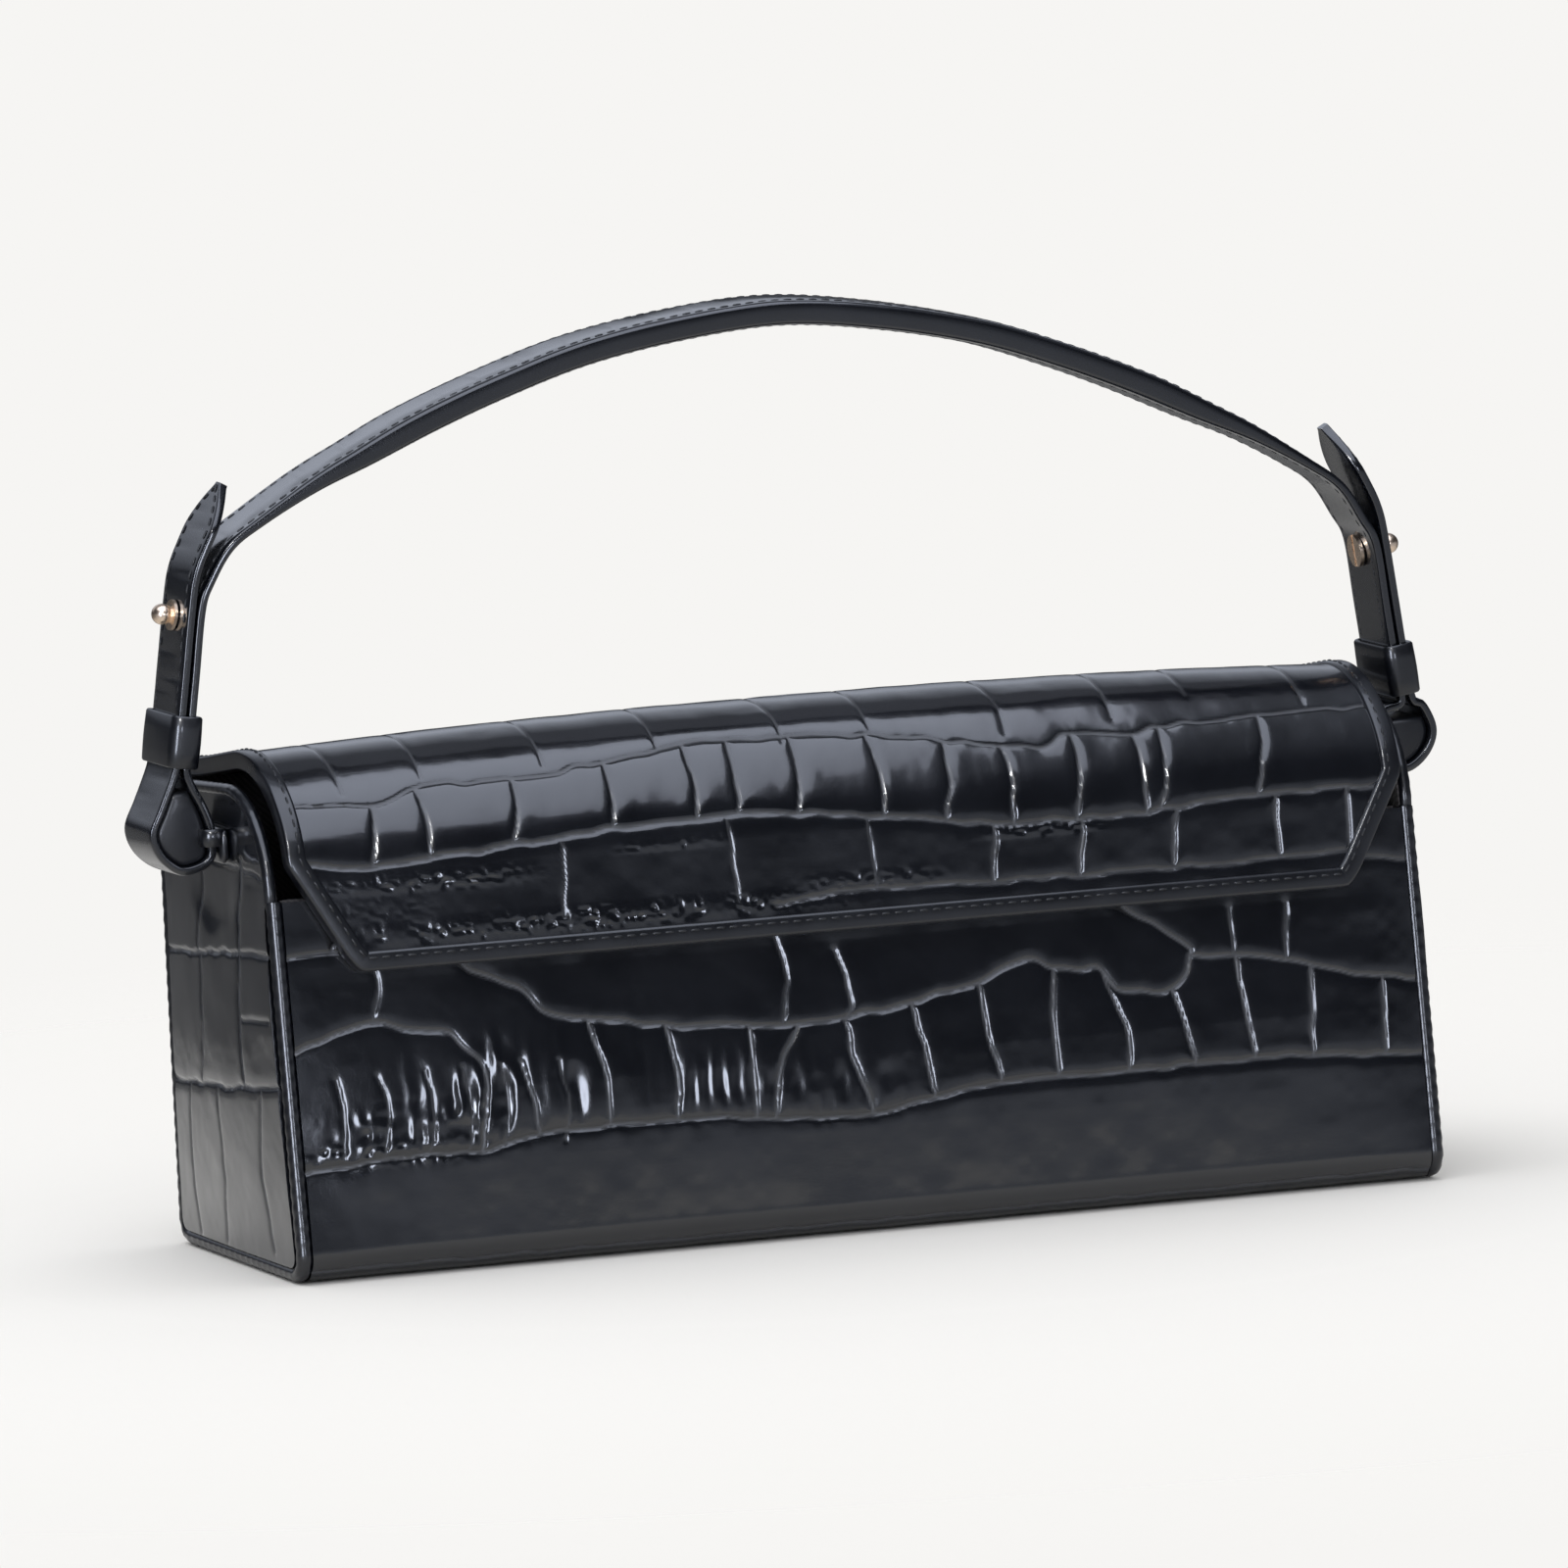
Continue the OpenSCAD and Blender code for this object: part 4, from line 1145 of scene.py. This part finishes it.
def strap_points(line3, up3, w, t, power, creases, look, seed, run):
    """A strap's rings with embossing on its outer face; the section's second axis is outward."""
    section = strap_section(w, t, power)
    s = np.repeat(run[:, None], section.shape[1], 1)
    h, mask = Scales(look, creases, seed).relief(s, section[..., 0])
    outer = ease(section[..., 1] / (0.5 * t[:, None]) * 2.0)
    edge = np.clip((1 - (2 * np.abs(section[..., 0]) / w[:, None]) ** 6), 0, 1)
    section[..., 1] += outer * edge * h * 0.7
    across = np.tile([0.0, 1.0, 0.0], (len(line3), 1))
    points, faces = swept(line3, across, up3, section)
    return points, faces, (mask * outer * edge).ravel()


SEAM_IN = 2.3  # how far the strap's seams lie inside its edges


def strap_seams(run, w):
    """The two shallow grooves that hold the strap's stitches."""
    return [(0.55, [(0, y * (w / 2 - SEAM_IN)), (run, y * (w / 2 - SEAM_IN))]) for y in (-1, 1)]


class BAG_OT_handle(bpy.types.Operator):
    """Sweeps the strap over its arch and its ends round their folds, and sews them."""

    bl_idname = "bag.handle"
    bl_label = "Handle"

    def execute(self, context):
        _, _, handle = sizes()
        look, s = Sizes(BagLook), handle.s
        line, run = spaced(handle.arch(), 1.0)
        flat_up = -left_of(line)
        line3 = handle.solid(line[:, 0], line[:, 1])
        up3 = handle.across(flat_up[:, 0], flat_up[:, 1])
        t = handle.thick(line[:, 0])
        creases = scale_field(0, run[-1], -9, 9, 9, 11, 51, 0.22) + strap_seams(run[-1], s.strap_w)
        w = np.full(len(line), s.strap_w)
        points, faces, mask = strap_points(line3, up3, w, t + 0.15, 6.0, creases, look, 52, run)
        cover = make_piece("strap_cover", points, faces, "handle", "scales",
                           ["strap_outer", "strap_core", "strap_lining"], mask)
        threads = []
        for y in (-1, 1):
            for face in (1, -1):
                off = array([0, y * (s.strap_w / 2 - SEAM_IN), 0])
                rim = line3 + up3 * (face * (t * 0.48 - 0.08))[:, None] + off
                threads.append(stitches(rim, up3 * face, look.stitch, 0.42))
        make_piece("strap_stitches", *merged(threads), "handle", "thread")
        for side, word in SIDES:
            self.end(handle, look, side, word)
        return {"FINISHED"}

    def end(self, handle, look, side, word):
        """One folded end with its pointed tip, the filling of its fold and its stitches."""
        s = handle.s
        line, run = spaced(handle.end(side), 0.8)
        out = -left_of(line)
        line3 = handle.solid(side * line[:, 0], line[:, 1])
        up3 = handle.across(side * out[:, 0], out[:, 1])
        tip = (line[:, 1] - (handle.tip_z + handle.lift(side) - handle.tip_point)) / handle.tip_point
        tip = np.where(run > run[-1] * 0.6, np.clip(tip, 0, 1), 0)
        w = s.strap_w * (1 - tip ** 1.7 * 0.86)
        creases = scale_field(0, run[-1], -9, 9, 9, 11, 60 + side, 0.22)
        points, faces, mask = strap_points(line3, up3, w, np.full(len(line), s.end_t), 7.0, creases, look, 61, run)
        make_piece(word + "_end_fold", points, faces, "handle", "scales", [word + "_strap_end"], mask)

        # The filling inside the fold, its ends a little rounded
        foot = handle.keeper_z + handle.lift(side)
        loop = (line[:, 1] < foot - s.keeper_h / 2 + 1) & (run > 4)
        core = line[loop] - out[loop] * (s.end_t / 2 - 0.05)
        inwards = unit(core.mean(0) - core)
        long = s.strap_w - 2.2
        rings = []
        for d, inset in ((0.0, 1.4), (0.35, 0.4), (1.2, 0.0), (long - 1.2, 0.0), (long - 0.35, 0.4), (long, 1.4)):
            ring = core + inwards * inset
            y = s.stand_back - s.strap_w / 2 + 1.1 + d
            rings.append(np.stack([side * ring[:, 0], np.full(len(ring), y), ring[:, 1]], 1))
        make_piece(word + "_fold_core", np.vstack(rings), tube_faces(len(rings), len(core)), "handle", "under")

        # Stitches along both edges of the tab, sunk where the keeper slides over them
        reach_top = foot + s.keeper_h + handle.keeper_slide + 4
        rise = s.end_t / 2 - 0.02 - 0.2 * ease((reach_top - line[:, 1]) / 3)
        tab = run > run[-1] * 0.56
        threads = []
        for y in (-1, 1):
            aside = np.stack([0 * w, y * np.maximum(w / 2 - 2.0, 0.6), 0 * w], 1)
            rim = line3 + up3 * rise[:, None] + aside
            threads.append(stitches(rim[tab], up3[tab], look.stitch, 0.5))
        make_piece(word + "_end_stitches", *merged(threads), "handle", "thread")


class BAG_OT_fittings(bpy.types.Operator):
    """Builds the rings and plates, and gives the turned fittings their metal."""

    bl_idname = "bag.fittings"
    bl_label = "Keepers, anchors and studs"

    def execute(self, context):
        _, _, handle = sizes()
        for side, word in SIDES:
            self.keeper(handle, side, word)
            self.anchor(handle, side, word)
            dress("gilt", word + "_stud", word + "_stud_screw")
            dress("steel", word + "_anchor_rivet")
        dress("steel", "anchor_washers", "case_magnets", "flap_magnets")
        dress("board", "front_board", "back_board", "base_board", "flap_board")
        return {"FINISHED"}

    def keeper(self, handle, side, word):
        """A soft ring round both layers of the strap, square to the leg."""
        s, sin, cos = handle.s, math.sin(handle.lean), math.cos(handle.lean)
        foot = handle.leg(handle.keeper_z + handle.lift(side), handle.tab_out / 2)

        def place(y, a, up):
            x, z = foot[0] + a * cos - up * sin, foot[1] + a * sin + up * cos
            return np.stack([side * x, handle.y + y, z], -1)

        h, k = s.keeper_h, s.keeper_t
        profile = [(0, 0.25), (0.25, 0), (k - 0.3, 0), (k, 0.4), (k + 0.12, h * 0.3), (k + 0.16, h / 2),
                   (k + 0.12, h * 0.7), (k, h - 0.4), (k - 0.3, h), (0.25, h), (0, h - 0.25)]
        slot = (s.strap_w + 2 * SOFT_GAP - 0.3, s.end_t + handle.tab_out + 2 * SOFT_GAP - 0.3, 1.2)
        make_piece(word + "_keeper_ring", *ring_band(place, slot, profile), word + "_keeper", "smooth",
                   [word + "_keeper"])

    def anchor(self, handle, side, word):
        """A plate on the gusset and the band that stands out from it round the strap."""
        slot_w = handle.s.strap_w + 2 * SOFT_GAP
        c, t = handle.loop_h, handle.loop_t
        b = c / 2
        low = handle.anchor_z - b + 1
        middle = (handle.plate_in + t + handle.band_in) / 2

        def stand(y, a, up):
            return np.stack([side * (middle + a), handle.y + y, low + up], -1)

        profile = [(0, b + 0.3), (0.3, b), (t - 0.4, b), (t, b + 0.5), (t + 0.1, (b + c) / 2), (t, c - 0.5),
                   (t - 0.4, c), (0.3, c), (0, c - 0.3)]
        band = ring_band(stand, (slot_w - 0.1, handle.band_in - handle.plate_in - t - 0.1, 0.8), profile)
        w = slot_w + 2 * t
        outline = rounded_box(w, c, 2.2, 5)
        rings = []
        for grow, d in ((-0.5, 0.0), (0, 0.5), (0, t - 0.5), (-0.5, t)):
            rings.append(np.stack([np.full(len(outline), side * (handle.plate_in + d)),
                                   handle.y + outline[:, 0] * (1 + 2 * grow / w),
                                   low + b + outline[:, 1] * (1 + 2 * grow / c)], 1))
        plate = (np.vstack(rings), tube_faces(len(rings), len(outline)))
        make_piece(word + "_anchor_band", *merged([band, plate]), "handle", "smooth", [word + "_anchor_loop"])


class BAG_OT_inside(bpy.types.Operator):
    """Builds the soft sheets inside the case, a little slack between their seams."""

    bl_idname = "bag.inside"
    bl_label = "Lining"

    def execute(self, context):
        case, flap, _ = sizes()
        s = case.s
        depth, t = 3.0, 0.8  # the lining's depth inside the leather and the board, and its thickness
        line = np.vstack([case.front_line(s.front_h, depth + t), case.back_line(s.back_h, depth + t)])
        self.sheet("lining_slack", "lining", line, case.half_l - 3.9, 2.2, 0.35, "cloth",
                   ["front_board", "base_board", "back_board"])
        top, high = s.back_h - 16, 55
        pocket = [case.back_at(z, depth + t + 0.8) for z in (top, top - high)]
        self.sheet("pocket_cloth", "slip_pocket", array(pocket), 60, 1.6, 0.3, "cloth", ["lining_slack"])
        facing = [case.front_at(z, depth + t + 1.0) for z in (s.front_h, s.front_h - 14)]
        self.sheet("front_facing_leather", "front_facing", array(facing), case.half_l - 4.9, 1.2, 0.06, "smooth",
                   ["lining_slack"])
        grid = gusset_grid(case, flap, 2.0)
        y, z = grid[..., 0], grid[..., 1]
        wall = case.half_l - s.leather_t
        for side, word in SIDES:
            ripple = 0.3 * hills(y, z, 13, 91 + side)
            face = np.stack([side * (wall - 0.8 - ripple), y, z], -1)
            back = np.stack([np.full(y.shape, side * (wall - 0.05)), y, z], -1)
            points, faces = two_skins(back, face)
            piece = make_piece(word + "_gusset_cloth", points, faces, "case", "cloth", [word + "_gusset_lining"])
        return {"FINISHED"}

    def sheet(self, name, node, line, half, step, slack, finish, rests_on):
        """Cloth along a line of the cross-section, a little slack between its ends."""
        pts, run = spaced(line, step)
        inward = left_of(pts)
        gx, gr = np.meshgrid(np.linspace(-half, half, int(2 * half / step)), run, indexing="ij")
        sag = np.sin(np.pi * np.clip(gr / run[-1], 0, 1)) ** 0.5
        wave = slack * (hills(gx, gr, 16, 83) - 0.3) * sag
        points, faces = two_skins(beside(gx, pts, inward, wave), beside(gx, pts, inward, -0.7))
        piece = make_piece(name, points, faces, "case", finish, [node])
        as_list(rests_on)


# The stage


def floor_material(colour):
    """Pale and matt; for the camera it melts into the equally pale backdrop away from the bag. In reflections it
    is painted darker, a painted shade, and mostly fades out away from the bag.
    """
    n = Skin("Pale floor")
    where = n.where()
    clouds = n.noise(Vector=where, Scale=0.8, Detail=3.0)
    path = n.add("LightPath").outputs
    pale = n.mix(clouds, rgba(colour, 0.97), rgba(colour, 1.0))
    # Painted shade: in reflections the floor's colour is darkened to 0.72, so the leather reflects a darker floor
    n.set(Base_Color=n.mix(path["Is Glossy Ray"], pale, rgba(colour, 0.72)),
          Roughness=n.span(clouds, 0.0, 1.0, 0.88, 0.96), Specular_IOR_Level=0.2)
    flat = n.add("Mapping", Vector=where)
    flat.inputs["Scale"].default_value = (1.0, 1.25, 1.0)
    far = n.numbered("VectorMath", {"operation": "LENGTH"}, {0: flat.outputs["Vector"]}, "Value")
    near = n.span(far, 0.62, 0.20)
    beyond = n.math("MAXIMUM", path["Is Camera Ray"], n.math("MULTIPLY", path["Is Glossy Ray"], 0.85))
    near = n.math("MAXIMUM", n.math("SUBTRACT", 1.0, beyond), near)
    clear = n.add("BsdfTransparent").outputs["BSDF"]
    mix = n.numbered("MixShader", (), {0: near, 1: clear, 2: n.shader.outputs["BSDF"]})
    n.put(n.tree.nodes["Material Output"].inputs["Surface"], mix)
    return n.material


def studio_world(stage):
    """Pale all round for the camera; for light and gloss, bright above and behind and dark in front."""
    world = bpy.data.worlds.new("Studio")
    bpy.context.scene.world = world
    world.use_nodes = True
    n = Nodes(world.node_tree)
    background = world.node_tree.nodes["Background"]
    path = n.add("LightPath")
    toward = n.add("TexCoord").outputs["Generated"]
    _, y, z = n.add("SeparateXYZ", Vector=toward).outputs
    up = n.math("MULTIPLY", n.span(z, 0.55, 0.95), 0.30)
    back = n.math("MULTIPLY", n.span(y, 0.55, 0.95), n.span(z, 0.08, 0.36, 0.01, 0.95))
    ground = n.math("MULTIPLY", n.span(z, 0.18, 0.03), n.span(y, 0.3, -0.5))
    bright = n.math("MAXIMUM", n.math("MAXIMUM", up, back), n.math("MULTIPLY", ground, 0.42))
    level = n.span(bright, 0.0, 1.0, 0.035, 1.0)
    glossy = n.mix(level, (0.0, 0.0, 0.0, 1), (0.80, 0.86, 1.0, 1))
    plain = rgba(stage.floor)
    seen = n.mix(path.outputs["Is Glossy Ray"], (stage.world, stage.world, stage.world, 1), glossy)
    seen = n.mix(path.outputs["Is Transmission Ray"], seen, plain)
    seen = n.mix(path.outputs["Is Camera Ray"], seen, plain)
    n.put(background.inputs["Color"], seen)


def lamp(name, place, aim, size, power, reflected=True):
    """A plain rectangular lamp that shows in reflections alone, or else everywhere but in them."""
    light = bpy.data.lights.new(name, "AREA")
    light.shape = "RECTANGLE"
    light.size, light.size_y = size
    light.energy = power
    thing = bpy.data.objects.new(name, light)
    bpy.context.scene.collection.objects.link(thing)
    thing.location = place
    thing.rotation_euler = (Vector(aim) - Vector(place)).to_track_quat("-Z", "Y").to_euler()
    thing.visible_diffuse, thing.visible_glossy = not reflected, reflected
    return light


class BAG_OT_stage(bpy.types.Operator):
    """Sets the camera, the floor, the lamps and the world."""

    bl_idname = "bag.stage"
    bl_label = "Stage"

    def execute(self, context):
        scene, stage = context.scene, context.scene.bag_stage
        az, el, roll = stage.azimuth, stage.elevation, stage.roll
        back = Vector((-math.sin(az) * math.cos(el), -math.cos(az) * math.cos(el), math.sin(el)))
        right = Vector((math.cos(az), -math.sin(az), 0))
        up = right.cross(-back)
        r2 = math.cos(roll) * right - math.sin(roll) * up
        u2 = math.sin(roll) * right + math.cos(roll) * up
        camera = bpy.data.objects.new("Camera", bpy.data.cameras.new("Camera"))
        scene.collection.objects.link(camera)
        target = Vector((-3.94, 0, 98.56)) * MM
        away = 4 * back
        camera.matrix_world = Matrix((
            (r2.x, u2.x, back.x, target.x + away.x), (r2.y, u2.y, back.y, target.y + away.y),
            (r2.z, u2.z, back.z, target.z + away.z), (0, 0, 0, 1)))
        camera.data.lens, camera.data.sensor_width = stage.lens, 36.0
        camera.data.sensor_fit = "HORIZONTAL"
        camera.data.clip_end = 60.0
        scene.camera = camera
        mesh = bpy.data.meshes.new("floor")
        mesh.from_pydata([(-9, -9, 0), (9, -9, 0), (9, 9, 0), (-9, 9, 0)], [], [(0, 1, 2, 3)])
        mesh.materials.append(floor_material(stage.floor))
        floor = bpy.data.objects.new("floor", mesh)
        scene.collection.objects.link(floor)
        floor.location.z = -0.0004
        studio_world(stage)
        for light in (
            lamp("Overhead softbox", (-0.175, -0.40, 0.82), (-0.175, -0.40, 0), (1.1, 1.0), 7.8),
            lamp("Left softbox", (-0.85, -1.0, 0.30), (-0.05, 0, 0.06), (0.3, 0.5), 9.5),
            lamp("Front lamp", (-0.10, -1.96, 0.36), (-0.07, 0, 0.05), (0.30, 0.40), 5.0),
        ):
            light.color = (0.78, 0.84, 1.0)
        lamp("Small lamp", (-0.46, -0.98, 0.79), (-0.02, 0, 0.06), (0.13, 0.13), 5.0)
        lamp("Room light", (-0.3, 0.2, 2.6), (0, 0, 0), (2.2, 2.2), 31.0, reflected=False)
        scene.view_settings.view_transform = "Standard"
        return {"FINISHED"}


class BAG_PT_build(bpy.types.Panel):
    bl_idname = "BAG_PT_build"
    bl_label = "Baguette bag"
    bl_space_type = "VIEW_3D"
    bl_region_type = "UI"
    bl_category = "Bag"

    def draw(self, context):
        for name, kind in GROUPS:
            box = self.layout.box()
            for key in kind.__annotations__:
                box.prop(getattr(context.scene, name), key)
        for kind in OPERATORS:
            self.layout.operator(kind.bl_idname)


OPERATORS = (BAG_OT_stage, BAG_OT_finishes, BAG_OT_case, BAG_OT_gussets, BAG_OT_flap, BAG_OT_handle,
             BAG_OT_fittings, BAG_OT_inside)
CLASSES = tuple(kind for _, kind in GROUPS) + OPERATORS + (BAG_PT_build,)


def register():
    for kind in CLASSES:
        bpy.utils.register_class(kind)
    for name, kind in GROUPS:
        setattr(bpy.types.Scene, name, bpy.props.PointerProperty(type=kind))


def unregister():
    for name, _ in GROUPS:
        delattr(bpy.types.Scene, name)
    for kind in reversed(CLASSES):
        bpy.utils.unregister_class(kind)


def main():
    register()
    for kind in OPERATORS:
        group, name = kind.bl_idname.split(".")
        getattr(getattr(bpy.ops, group), name)()


if __name__ == "__main__":
    main()
